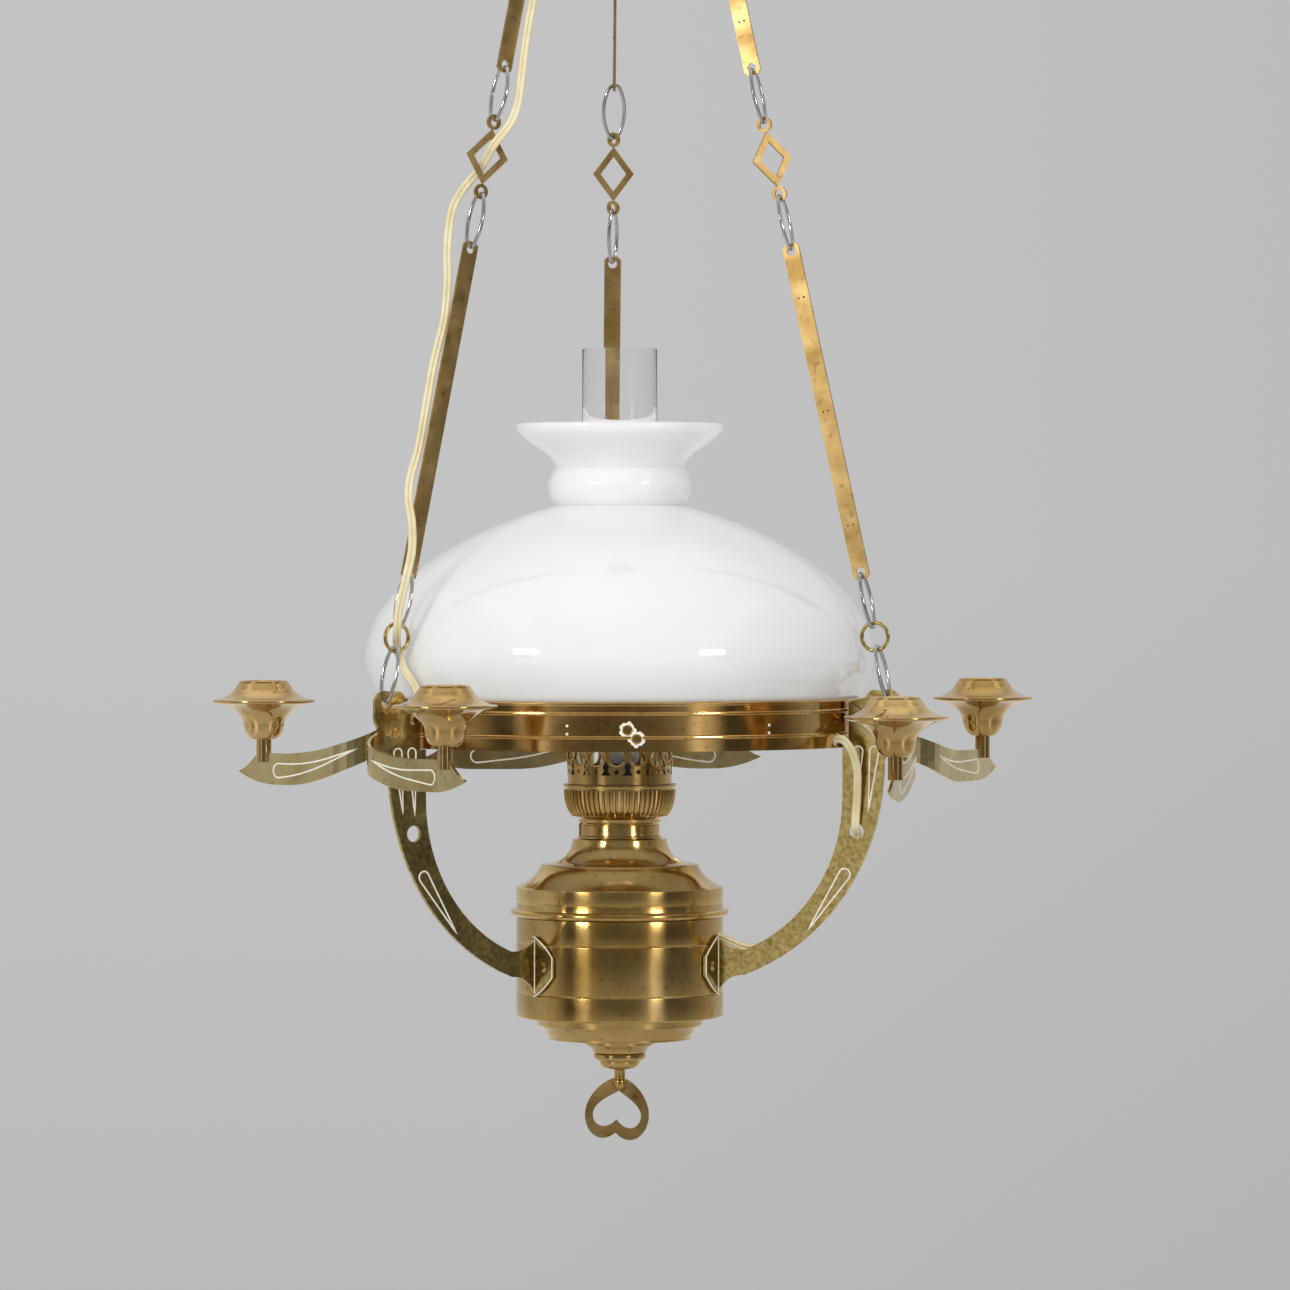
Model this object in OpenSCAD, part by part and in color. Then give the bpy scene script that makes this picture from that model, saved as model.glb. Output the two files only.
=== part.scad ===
// Hanging paraffin lamp on three chains, with a glass shade, a chimney, six candle cups and a later flex.
// The origin is the middle of the hanging eye. Heights in the lamp's frame count up from its level line,
// just under the shade ring.

/* [Stations] */
// Bearing of the left chain, seen from above
left_bearing = 217.4; // [210:0.1:224]
// Bearing of the right chain
right_bearing = 337.4; // [334:0.1:344]
// Bearing of the back chain
back_bearing = 92.5; // [88:0.1:98]
// Distance from the shade's widest part out to the chain holes in the ears
ear_reach = 17; // [14:0.5:30]
// Height of the chain holes in the ears
ear_h = 27.3; // [20:0.1:40]

/* [Chains] */
// Thickness of the wire in the oval links
link_wire = 2.1; // [1.4:0.1:2.6]
// Length of an oval link over its wire
link_length = 30.9; // [26:0.1:44]
// Width of an oval link over its wire
link_width = 14.5; // [12:0.1:18]
// Radius of the wire's middle line round a link's ends
link_end_r = 3.6; // [3:0.1:4.5]
// Distance between the two holes of a bar
bar_pitch = 172; // [100:1:260]
// Width of a bar
bar_width = 9; // [8:0.1:12]
// Thickness of a bar
bar_thick = 1.4; // [0.8:0.1:1.8]
// Metal between a bar's hole and its end
bar_land = 1.6; // [1.2:0.1:3]
// Hole in bars, diamonds, lugs and ears
chain_hole = 4.8; // [4.4:0.1:6]
// Distance between the two holes of a diamond
diamond_pitch = 37.5; // [34:0.5:60]
// Width of a diamond across its corners
diamond_width = 22; // [18:0.5:30]
// Height of a diamond between its points
diamond_height = 30; // [24:0.5:34]
// Width of a diamond's four sides
diamond_side = 3.2; // [2:0.1:4]
// Thickness of a diamond
diamond_thick = 1.8; // [1.2:0.1:2.4]
// Width of a diamond's pierced ends
diamond_tab = 8; // [7:0.1:9]
// Turn of a diamond's face from its pierced ends
diamond_turn = 45; // [0:1:60]
// Outside of the small round ring
round_ring_d = 16.5; // [14:0.1:20]
// Wire of the small round ring
round_ring_wire = 2; // [1.4:0.1:2.4]
// Twist that the back chain takes at each joint
back_twist = 22.5; // [0:0.5:25]

/* [Crown] */
// Bore of the hanging eye
eye_bore = 12; // [8:0.5:14]
// Outside of the hanging eye
eye_d = 22; // [20:0.5:30]
// Thickness of the hanging eye
eye_thick = 7; // [4:0.5:9]
// Distance of the lug holes from the lamp's axis
lug_r = 29.7; // [26:0.1:36]
// Depth of the lug holes below the eye
lug_drop = 46; // [44:0.5:60]
// Thickness of the lugs
lug_thick = 2; // [1.2:0.1:2.4]
// Radius of the spun cap
cap_r = 34; // [32:0.5:44]
// Height of the spun cap
cap_height = 22; // [16:0.5:24]
// Thickness of the spun cap
cap_wall = 1.4; // [1:0.1:2]

/* [Shade ring] */
// Outside radius of the ring's plain band
band_r = 128.6; // [124:0.1:132]
// Height of the ring's foot above the frame's level line
band_lift = 3.4; // [0:0.1:6]
// Height of the ring
band_height = 25.1; // [24:0.1:30]
// Thickness of the ring's band
band_wall = 1.5; // [1:0.1:2]
// Radius of the two beads round the band
bead_r = 1.1; // [0.6:0.1:1.5]
// Height of the lower bead above the ring's foot
low_bead_h = 7.2; // [4:0.1:9]
// Height of the upper bead above the ring's foot
high_bead_h = 19.3; // [16:0.1:22]
// Height of the ledge's top above the ring's foot
ledge_h = 9.6; // [8:0.1:12]
// Width of the ledge inside the band
ledge_width = 19.1; // [12:0.1:25]
// Thickness of the ledge
ledge_wall = 1.4; // [1:0.1:2]
// Hole in the band for the flex
band_hole = 7; // [6:0.1:8]

/* [Glass] */
// Thickness of the shade's glass
shade_wall = 3; // [2:0.1:4]
// How far the shade's foot stands inside the band
shade_inset = 11.1; // [9:0.1:16]
// How far the shade's widest part stands out past the band
belly_reach = 6.4; // [2:0.1:8]
// Height of the shade's widest part above its foot
shade_belly_h = 36.7; // [34:0.1:60]
// Height of the shade's neck above its foot
shade_neck_h = 116.7; // [100:0.1:140]
// Radius of the shade's neck
shade_neck_r = 34.7; // [33:0.1:45]
// Swell of the neck's ball
neck_ball = 3.5; // [0:0.1:6]
// Height of the neck's ball
neck_ball_h = 19.7; // [14:0.1:26]
// Radius of the flared mouth
shade_mouth_r = 54.9; // [48:0.1:65]
// Height of the flared mouth
shade_mouth_h = 22; // [16:0.1:30]
// Outside radius of the chimney's tube
chimney_r = 19.9; // [19.6:0.1:22]
// Outside radius of the chimney's foot
chimney_foot_r = 25.6; // [24:0.1:26.4]
// Length of the chimney
chimney_length = 230; // [180:1:260]
// Thickness of the chimney's glass
chimney_wall = 1.8; // [1.2:0.1:2.2]

/* [Support arms] */
// Thickness of the sheet in the arms
arm_sheet = 2; // [1.2:0.1:2.4]
// Radius of the sweep of an arm's outer edge
outer_sweep = 119.4; // [116:0.1:121]
// Radius of the sweep of an arm's inner edge
inner_sweep = 86.9; // [84:0.1:88]
// Width of an arm beside the ring's foot
arm_width = 22.9; // [21:0.1:25]
// Radius of the lobe round the chain hole
ear_lobe = 6.5; // [5.5:0.1:7]
// Radius of the lobe beside it
side_lobe = 5; // [4.5:0.1:5.5]
// Bore in the arms for the flex
arm_hole = 8.5; // [8:0.1:9]
// Depth of that bore below the ring's foot
arm_hole_drop = 40.4; // [39:0.1:42]
// Height of the flange on the font holder
flange_height = 31.5; // [30:0.5:33]
// Width of that flange round the holder
flange_width = 14; // [12:0.5:18]
// Thickness of that flange
flange_thick = 1.6; // [1:0.1:2]
// Thickness of the rivets and of the screws
fixing_d = 3; // [2.4:0.1:3.6]
// Width of a rivet's or a screw's head
fixing_head = 5.6; // [5:0.1:7]

/* [Candle arms] */
// Thickness of the strip
strip_thick = 1.6; // [1.2:0.1:2]
// Height of the strip where it is screwed on
strip_root = 11; // [10:0.1:12]
// Height of the strip under the cup
strip_wide = 16.4; // [14:0.1:18]
// How far the strip comes down from its root to its tip
strip_fall = 29; // [26:0.5:31]
// Length over which it comes down
fall_length = 85; // [80:1:90]
// Distance from the chain hole out to where the strip leaves the sheet
bend_reach = 1.4; // [0.5:0.1:4]
// Radius of the strip's bend, at its middle
bend_r = 19; // [16:0.5:21]
// Distance of the cups from the circle of the chain holes
cup_reach = 41.3; // [38:0.1:50]
// Angle of the leading cup from its station
lead_cup_angle = 25.9; // [24:0.1:30]
// Angle of the trailing cup from its station
trail_cup_angle = 20.7; // [20:0.1:24]
// Length of the strip past the cup
tip_reach = 18; // [14:0.5:22]
// How much lower the bent arm at the right front hangs
bent_drop = 6.7; // [0:0.1:12]

/* [Candle cups] */
// Bore for the candle
candle_bore = 20; // [18:0.5:22]
// Depth of that bore
candle_depth = 18; // [15:0.5:19]
// Width of the drip pan
pan_d = 53; // [50:0.5:58]
// Height of the pan's edge above the strip
pan_h = 27; // [25:0.1:32]
// Height of the cup's mouth above the pan's edge
mouth_rise = 10.6; // [10:0.1:12]
// Width of the cup's stem
stem_d = 7.8; // [7:0.1:9]
// Depth of the stem below the strip's top edge
stem_lap = 4.7; // [3:0.1:6]

/* [Font and holder] */
// Outside radius of the font holder
holder_r = 55; // [50:0.5:60]
// Depth of the holder's rim below the ring's foot
holder_drop = 87.7; // [84:0.1:92]
// Height of the holder's straight wall
holder_height = 52.8; // [48:0.1:60]
// Thickness of the holder
holder_wall = 1.5; // [1:0.1:2]
// Depth of the holder's stepped foot
foot_depth = 12; // [10:0.5:16]
// Radius of the boss under the holder
boss_r = 18.5; // [16:0.5:22]
// Height of that boss
boss_height = 7.5; // [5:0.1:10]
// Thickness of the font's metal
font_wall = 1.3; // [1:0.1:2]
// Reach of the font's bead past the holder
font_bead = 3; // [2:0.1:4]
// Height of the font's straight band above its bead
font_band_h = 11.6; // [8:0.1:16]
// Height of the font's lower shoulder
shoulder_h = 11.1; // [8:0.1:14]
// Radius of the step between the two shoulders
step_r = 42; // [38:0.5:46]
// Height of the font's upper shoulder
collar_h = 12.8; // [9:0.1:16]
// Radius of the font's collar
collar_r = 25; // [23:0.5:28]

/* [Burner] */
// Radius of the burner's neck
neck_r = 21.2; // [20:0.1:22.5]
// Height of the burner's neck
neck_h = 10.3; // [8:0.1:14]
// Widest radius of the burner's bowl
bowl_r = 28.6; // [27:0.1:31]
// Height of the burner's bowl
bowl_h = 17; // [14:0.1:22]
// Reach of the burner's flange past its bowl
flange_reach = 1.4; // [1:0.1:3]
// Thickness of the burner's metal
burner_wall = 1.2; // [0.8:0.1:1.6]
// Bore of the hole that the wick winder left
winder_hole = 4.4; // [3:0.1:6]
// Outside radius of the gallery
gallery_r = 27.7; // [27.2:0.1:28.4]
// Height of the gallery
gallery_h = 24; // [22:0.5:30]
// Thickness of the gallery
gallery_wall = 0.9; // [0.6:0.1:1.2]
// Number of round holes in the gallery
gallery_holes = 15; // [12:1:15]
// Width of those holes
gallery_hole_d = 7.6; // [6:0.1:8]
// Width of the lamp socket
socket_d = 25; // [22:0.5:28]
// Length of the lamp socket
socket_length = 36; // [30:0.5:42]
// Width of the bulb
bulb_d = 22; // [20:0.5:28]
// Length of the bulb's glass
bulb_length = 25; // [22:1:32]

/* [Finial and heart] */
// Radius of the finial's disc
finial_r = 13.8; // [11:0.1:14]
// Length of the finial down to its ball
finial_length = 16; // [14:0.5:22]
// Radius of the finial's ball
ball_r = 3.8; // [3.6:0.1:5]
// Pin through the ball
pin_d = 1.4; // [1:0.1:1.6]
// Width of the heart
heart_width = 34; // [28:0.5:40]
// Depth of the heart below its pin
heart_depth = 29.8; // [26:0.1:36]
// Width of the heart's strip at its sides
heart_strip = 4.2; // [3.6:0.1:5]
// How far the heart hangs askew
heart_tilt = 5; // [0:1:8]
// Thickness of the heart
heart_thick = 1.8; // [1.2:0.1:2.2]

/* [Flex] */
// Thickness of the flex as a round cord
flex_d = 3.6; // [2.4:0.1:3.8]

/* [Fits] */
// Gap where a hung piece bears on what carries it
seat_gap = 0.3; // [0.2:0.05:0.4]
// Gap round a pin, a screw or a rivet
fixing_gap = 0.2; // [0.1:0.05:0.3]
// Gap round a piece that slides in another
slide_gap = 0.5; // [0.3:0.05:0.8]

/* [Hidden] */
$fn = 72;
LEFT = 0;
RIGHT = 1;
BACK = 2;
SIDES = ["left", "right", "back"];
BRASS = "#b08a3e";
OLD_BRASS = "#8f7338";
STEEL = "#b9b9b6";
OPAL = "#f2f2ef";
CLEAR = [0.85, 0.9, 0.9, 0.35];
CREAM = "#eadcae";
BAKELITE = "#3a2a20";

bearing = [left_bearing, right_bearing, back_bearing];
twist_step = [0, 0, back_twist];
face_turn = [-diamond_turn, diamond_turn, diamond_turn];

// Circles round the lamp's axis, out from the ring's band
band_in = band_r - band_wall;
ledge_r = band_in - ledge_width;
shade_foot_r = band_r - shade_inset;
shade_belly_r = band_r + belly_reach;
ear_r = shade_belly_r + ear_reach;
bend_start = ear_r + bend_reach;
cup_r = ear_r + cup_reach;

// Chain joints: places count down the chain from the lug's hole
wire_r = link_wire / 2;
ring_wire_r = round_ring_wire / 2;
link_pitch = link_length - link_wire;
ring_pitch = round_ring_d - round_ring_wire;
hole_play = chain_hole / 2 - wire_r - seat_gap;
wire_lap = wire_r + ring_wire_r + seat_gap;
crown_link_at = hole_play;
upper_bar_at = crown_link_at + link_pitch + hole_play;
upper_link_at = upper_bar_at + bar_pitch + hole_play;
diamond_at = upper_link_at + link_pitch + hole_play;
middle_link_at = diamond_at + diamond_pitch + hole_play;
lower_bar_at = middle_link_at + link_pitch + hole_play;
lower_link_at = lower_bar_at + bar_pitch + hole_play;
round_ring_at = lower_link_at + link_pitch - wire_lap;
ear_link_at = round_ring_at + ring_pitch - wire_lap;
chain_length = ear_link_at + link_pitch + hole_play;
chain_run = ear_r - lug_r;
chain_fall = sqrt(pow(chain_length, 2) - pow(chain_run, 2));
chain_lean = asin(chain_run / chain_length);
ring_z = -lug_drop - chain_fall - ear_h;

// Oval link: two end arcs and two flatter side arcs that run into each other
link_half = link_pitch / 2;
link_side = (link_width - link_wire) / 2;
link_run = link_half - link_end_r;
side_arc_r = (pow(link_side, 2) + pow(link_run, 2) - pow(link_end_r, 2)) / (2 * (link_side - link_end_r));
side_arc_half = atan(link_run / (side_arc_r - link_side));
arc_lap = 4;
lapped_wire = link_wire - 0.04;

// Shade and ring
top_roll_r = 1;
lower_set_in = 0.4;
shade_foot_h = band_lift + ledge_h + seat_gap;

// Support arm, in its own plane: distance from the axis and height
arm_in = band_r + bead_r + seat_gap;
arm_foot_in = band_in - 0.6;
arm_foot_out = arm_foot_in + arm_width;
outer_middle = [arm_foot_out - outer_sweep, -5];
inner_middle = [arm_foot_in - inner_sweep, -23];
fold_reach = 16;
flange_in = holder_r + seat_gap;
fold_in = flange_in + flange_thick / 2;
flange_top = -96.5;
flange_foot = flange_top - flange_height;
arm_hole_at = [arm_foot_in + arm_width / 3, -arm_hole_drop];
screw_along = [4.5, 15.5];

// Candle arms: the leading arm turns with the bearing, the trailing arm against it
strip_off = arm_sheet / 2 + fixing_gap + strip_thick / 2;
strip_start = arm_in + 1;
strip_top_h = 21.5;
widen_length = 70;
tail_lift = 27;
tip_half = 0.3;
tip_low = 1.6;
tip_curve = 1.5;
steps_to_cup = 26;
steps_past_cup = 8;
screw_at = [for (d = screw_along) [strip_start + d, strip_middle(1, d, 0)]];

// Font, burner and gallery, upwards from the holder's rim
holder_rim = -holder_drop;
holder_floor = holder_rim - holder_height;
font_seat = holder_rim + seat_gap;
bead_h = 4;
font_band_foot = font_seat + bead_h;
band_top = font_band_foot + font_band_h;
step_top = band_top + shoulder_h;
collar_top = step_top + 1.4 + collar_h;
burner_foot = collar_top + seat_gap;
bowl_foot = burner_foot + neck_h;
bowl_top = bowl_foot + bowl_h;
flange_plate = 1.4;
gallery_foot = bowl_top + flange_plate + seat_gap;
chimney_foot = gallery_foot;
screw_r = neck_r - 3;
screw_depth = 7;
burner_floor = burner_foot + 2;
socket_foot = burner_floor + burner_wall + seat_gap;
bulb_foot = socket_foot + socket_length + seat_gap;

// Finial and heart
boss_foot = holder_floor - foot_depth - boss_height;
finial_top = boss_foot - seat_gap;
ball_at = finial_top - finial_length;
heart_gap = 0.4;
slot_rise = 5.2;
heart_apex = 3.2;

function unit(v) = v / norm(v);

// Curves in a plane
function curve2(p, q, r, n) = [
  for (i = [0:n])
    let (t = i / n)
      p * pow(1 - t, 2) + q * 2 * t * (1 - t) + r * t * t
];
function curve3(p, q, r, s, n) = [
  for (i = [0:n])
    let (t = i / n, u = 1 - t)
      p * pow(u, 3) + q * 3 * t * u * u + r * 3 * t * t * u + s * pow(t, 3)
];
function arc(c, r, from, to, n) = [
  for (i = [0:n])
    let (a = from + (to - from) * i / n)
      c + r * [cos(a), sin(a)]
];

// A line moved sideways by d, to its left
function beside(line, d) = [
  for (i = [0:len(line) - 1])
    let (along = unit(line[min(i + 1, len(line) - 1)] - line[max(i - 1, 0)]))
      line[i] + d * [-along[1], along[0]]
];
function backwards(line) = [for (i = [len(line) - 1:-1:0]) line[i]];
function without_first(line) = [for (i = [1:len(line) - 1]) line[i]];

// Places: on a chain (down it, outward from it, round from it), round the axis, and at a station
function turned(v, angle) = [
  v[0] * cos(angle) - v[1] * sin(angle), v[0] * sin(angle) + v[1] * cos(angle), v[2]
];
function chain_place(side, p) = turned([
  lug_r + p[0] * sin(chain_lean) + p[1] * cos(chain_lean),
  p[2],
  -lug_drop - p[0] * cos(chain_lean) + p[1] * sin(chain_lean)
], bearing[side]);
function round_place(p) = turned([p[0], 0, ring_z + p[2]], p[1]);
function station_place(side, p) = turned([p[0], p[1], ring_z + p[2]], bearing[side]);

module in_lamp() {
  translate([0, 0, ring_z])
    children();
}

module at_station(side) {
  rotate([0, 0, bearing[side]])
    in_lamp()
      children();
}

module on_chain(side, down, turn) {
  rotate([0, 0, bearing[side]])
    translate([lug_r, 0, -lug_drop])
      rotate([0, -chain_lean, 0])
        translate([0, 0, -down])
          rotate([0, 0, turn])
            children();
}

module plate(thick) {
  rotate([90, 0, 0])
    linear_extrude(thick, center = true)
      children();
}

module revolve(points) {
  rotate_extrude($fn = 120)
    polygon(points);
}

// Chain pieces, each hung from its upper joint at the origin
module wire_arc(radius, wire, from, sweep) {
  rotate([0, 0, from])
    rotate_extrude(angle = sweep)
      translate([radius, 0])
        circle(d = wire);
}

module oval_link() {
  color(STEEL)
    translate([0, 0, -link_half])
      rotate([90, 0, 90])
        for (end = [0, 180])
          rotate([0, 0, end]) {
            translate([0, link_run, 0])
              wire_arc(link_end_r, link_wire, side_arc_half - arc_lap, 180 - 2 * (side_arc_half - arc_lap));
            translate([link_side - side_arc_r, 0, 0])
              wire_arc(side_arc_r, lapped_wire, -side_arc_half, 2 * side_arc_half);
          }
}

module bar() {
  reach = chain_hole / 2 + bar_land;
  corner = bar_width / 5;
  half = bar_width / 2;
  color(OLD_BRASS)
    plate(bar_thick)
      difference() {
        polygon([
          [-half, reach - corner], [corner - half, reach], [half - corner, reach], [half, reach - corner],
          [half, corner - reach - bar_pitch], [half - corner, -reach - bar_pitch],
          [corner - half, -reach - bar_pitch], [-half, corner - reach - bar_pitch]
        ]);
        for (down = [0, bar_pitch])
          translate([0, -down])
            circle(d = chain_hole);
      }
}

module rhombus(scale_by) {
  polygon(scale_by * [
    [diamond_width / 2, 0], [0, diamond_height / 2], [-diamond_width / 2, 0], [0, -diamond_height / 2]
  ]);
}

module diamond(turn) {
  inset = diamond_width * diamond_height / (2 * norm([diamond_width, diamond_height]));
  color(OLD_BRASS)
    translate([0, 0, -diamond_pitch / 2])
      difference() {
        union() {
          rotate([0, 0, turn])
            plate(diamond_thick)
              difference() {
                rhombus(1);
                rhombus(1 - diamond_side / inset);
              }
          for (up = [-1, 1])
            translate([0, 0, up * diamond_pitch / 2])
              rotate([90, 0, 0])
                cylinder(d = diamond_tab, h = diamond_thick, center = true);
        }
        for (up = [-1, 1])
          translate([0, 0, up * diamond_pitch / 2])
            rotate([90, 0, 0])
              cylinder(d = chain_hole, h = diamond_tab, center = true);
      }
}

module round_ring() {
  color(BRASS)
    translate([0, 0, -ring_pitch / 2])
      rotate([90, 0, 0])
        rotate_extrude()
          translate([ring_pitch / 2, 0])
            circle(d = round_ring_wire);
}

module crown() {
  cap_foot = 3 - lug_drop;
  cap_top = cap_foot + cap_height;
  cap_line = curve3([eye_thick, cap_top], [cap_r * 0.62, cap_top], [cap_r, cap_top - cap_height * 0.4],
    [cap_r, cap_foot], 16);
  lug_land = chain_hole / 2 + 2.6;
  lug_root = cap_foot + cap_height / 3;
  color(BRASS)
    difference() {
      union() {
        rotate([0, 90, 0])
          cylinder(d = eye_d, h = eye_thick, center = true);
        translate([0, 0, cap_top - cap_wall])
          cylinder(d = eye_thick + 1, h = -cap_top + cap_wall - eye_bore / 2 - 1);
        revolve(concat(
          [[0, cap_top]],
          cap_line,
          backwards(beside(cap_line, -cap_wall)),
          [[0, cap_top - cap_wall]]
        ));
        for (side = [LEFT, RIGHT, BACK])
          rotate([0, 0, bearing[side]])
            plate(lug_thick)
              difference() {
                union() {
                  translate([lug_r, -lug_drop])
                    circle(r = lug_land);
                  polygon([
                    [lug_r - lug_land, -lug_drop], [lug_r + lug_land * 0.8, -lug_drop],
                    [lug_r + 1, lug_root], [lug_r - lug_land * 1.6, lug_root]
                  ]);
                }
                translate([lug_r, -lug_drop])
                  circle(d = chain_hole);
              }
      }
      rotate([0, 90, 0])
        cylinder(d = eye_bore, h = eye_d, center = true);
    }
}

// The shade ring, with its rolled top, two beads and the ledge that carries the glass
module shade_ring() {
  lower_r = band_r - lower_set_in;
  outside = concat(
    [[band_in, 0], [lower_r, 0], [lower_r, low_bead_h - bead_r]],
    arc([lower_r, low_bead_h], bead_r, -90, 90, 8),
    [[band_r, low_bead_h + bead_r], [band_r, high_bead_h - bead_r]],
    arc([band_r, high_bead_h], bead_r, -90, 90, 8),
    [[band_r, band_height - 2 * top_roll_r]],
    arc([band_r - top_roll_r, band_height - top_roll_r], 1.2 * top_roll_r, -30, 190, 12),
    [[band_in, ledge_h], [ledge_r, ledge_h]],
    [[ledge_r, ledge_h - ledge_wall], [band_in, ledge_h - ledge_wall]]
  );
  color(BRASS)
    in_lamp()
      difference() {
        translate([0, 0, band_lift])
          revolve(outside);
        for (turn = [FLEX_IN, FLEX_OUT])
          rotate([0, 0, turn])
            translate([band_r, 0, flex_h])
              rotate([0, 90, 0])
                cylinder(d = band_hole, h = 6 * band_wall, center = true);
        for (place = rivet_places)
          rotate([0, 0, place[0]])
            translate([band_r, 0, place[1]])
              rotate([0, 90, 0]) {
                cylinder(d = fixing_d + 2 * fixing_gap, h = 3 * band_wall, center = true);
                translate([0, 0, fixing_gap / 2])
                  cylinder(d = fixing_head + 2 * fixing_gap, h = 3 * bead_r);
              }
      }
}

// The opal shade: foot, belly, dome, ball neck and flared mouth
function shade_line() = concat(
  [[shade_foot_r, 0]],
  curve3([shade_foot_r, 3], [shade_foot_r + 10.5, 16.5], [shade_belly_r, shade_belly_h - 10],
    [shade_belly_r, shade_belly_h], 12),
  without_first(curve3([shade_belly_r, shade_belly_h], [shade_belly_r - 3, shade_belly_h + 40],
    [shade_neck_r + 45, shade_neck_h - 12], [shade_neck_r, shade_neck_h], 20)),
  [for (i = [1:10]) [shade_neck_r + neck_ball * sin(18 * i), shade_neck_h + neck_ball_h * i / 10]],
  without_first(curve3([shade_neck_r, shade_neck_h + neck_ball_h],
    [shade_neck_r + 1, shade_neck_h + neck_ball_h + shade_mouth_h * 0.4],
    [shade_mouth_r - 9, shade_neck_h + neck_ball_h + shade_mouth_h * 0.45],
    [shade_mouth_r, shade_neck_h + neck_ball_h + shade_mouth_h], 10))
);

module shade() {
  line = shade_line();
  color(OPAL)
    in_lamp()
      translate([0, 0, shade_foot_h])
        revolve(concat(line, backwards(beside(line, shade_wall))));
}

module chimney() {
  foot = 16;
  shoulder = 22;
  line = concat(
    [[chimney_foot_r, 0]],
    curve3([chimney_foot_r, foot], [chimney_foot_r, foot + shoulder / 2], [chimney_r, foot + shoulder / 2],
      [chimney_r, foot + shoulder], 10),
    [[chimney_r, chimney_length]]
  );
  color(CLEAR)
    in_lamp()
      translate([0, 0, chimney_foot])
        revolve(concat(line, backwards(beside(line, chimney_wall))));
}

// A support arm: a sheet standing on the radius, with a flange bent onto the holder
function sweep_end(middle, r) = let (a = -acos((flange_in + fold_reach - middle[0]) / r)) a;
function arm_outline() =
  let (
    outer_end = sweep_end(outer_middle, outer_sweep),
    inner_end = sweep_end(inner_middle, inner_sweep),
    low = outer_middle + outer_sweep * [cos(outer_end), sin(outer_end)],
    high = inner_middle + inner_sweep * [cos(inner_end), sin(inner_end)],
    side_lobe_at = [ear_r - ear_lobe - 1, ear_h + 1.2]
  ) concat(
    curve2([fold_in, flange_foot + 1], [flange_in + fold_reach / 3, low[1]], low, 6),
    without_first(arc(outer_middle, outer_sweep, outer_end, 0, 18)),
    [[arm_foot_out + 3.6, 8], [ear_r + ear_lobe, 18]],
    arc([ear_r, ear_h], ear_lobe, 0, 125, 9),
    arc(side_lobe_at, side_lobe, 55, 165, 7),
    [[arm_in, ear_h - seat_gap], [arm_in, band_lift - seat_gap], [arm_foot_in, band_lift - seat_gap]],
    arc(inner_middle, inner_sweep, 0, inner_end, 16),
    without_first(curve2(high, [flange_in + fold_reach / 3, high[1]], [fold_in, flange_top - 1], 6))
  );

module support_arm(side, hand) {
  mid = (flange_top + flange_foot) / 2;
  color(BRASS)
    at_station(side)
      difference() {
        union() {
          plate(arm_sheet)
            difference() {
              polygon(arm_outline());
              translate([ear_r, ear_h])
                circle(d = chain_hole);
              translate(arm_hole_at)
                circle(d = arm_hole);
              for (place = screw_at)
                translate(place)
                  circle(d = fixing_d + 2 * fixing_gap);
            }
          intersection() {
            translate([0, 0, flange_foot])
              difference() {
                cylinder(r = flange_in + flange_thick, h = flange_height);
                translate([0, 0, -1])
                  cylinder(r = flange_in, h = flange_height + 2);
              }
            rotate([90, 0, 90])
              linear_extrude(2 * holder_r)
                polygon([for (p = flange_outline()) [hand * p[0], p[1]]]);
          }
        }
        rotate([0, 0, hand * rivet_turn()])
          translate([holder_r, 0, mid])
            rotate([0, 90, 0])
              cylinder(d = fixing_d + 2 * fixing_gap, h = 8 * flange_thick, center = true);
      }
}

function flange_outline() = let (mid = (flange_top + flange_foot) / 2, bow = flange_height / 6) concat(
  [[-arm_sheet / 4, flange_foot]],
  curve2([0, flange_foot], [flange_width * 0.5, flange_foot + 2], [flange_width, mid - bow], 6),
  curve2([flange_width, mid + bow], [flange_width * 0.5, flange_top - 2], [0, flange_top], 6),
  [[-arm_sheet / 4, flange_top]]
);
function rivet_turn() = asin(flange_width * 0.55 / holder_r);
function flange_hand(side) = side == RIGHT ? -1 : 1;

// A candle arm: a strip that leaves the sheet, bends round and ends in a fishtail past its cup
function cup_place(hand) =
  let (a = hand > 0 ? lead_cup_angle : trail_cup_angle) cup_r * [cos(a), sin(a)];
function cup_from_bend(hand) = cup_place(hand) - [bend_start, strip_off + bend_r];
function strip_run(hand) = sqrt(pow(norm(cup_from_bend(hand)), 2) - pow(bend_r, 2));
function bend_angle(hand) =
  let (v = cup_from_bend(hand)) atan2(v[1], v[0]) + atan(bend_r / strip_run(hand));
function bend_length(hand) = bend_r * bend_angle(hand) * PI / 180;
function strip_lead() = bend_start - strip_start;
function strip_to_cup(hand) = strip_lead() + bend_length(hand) + strip_run(hand);

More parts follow.
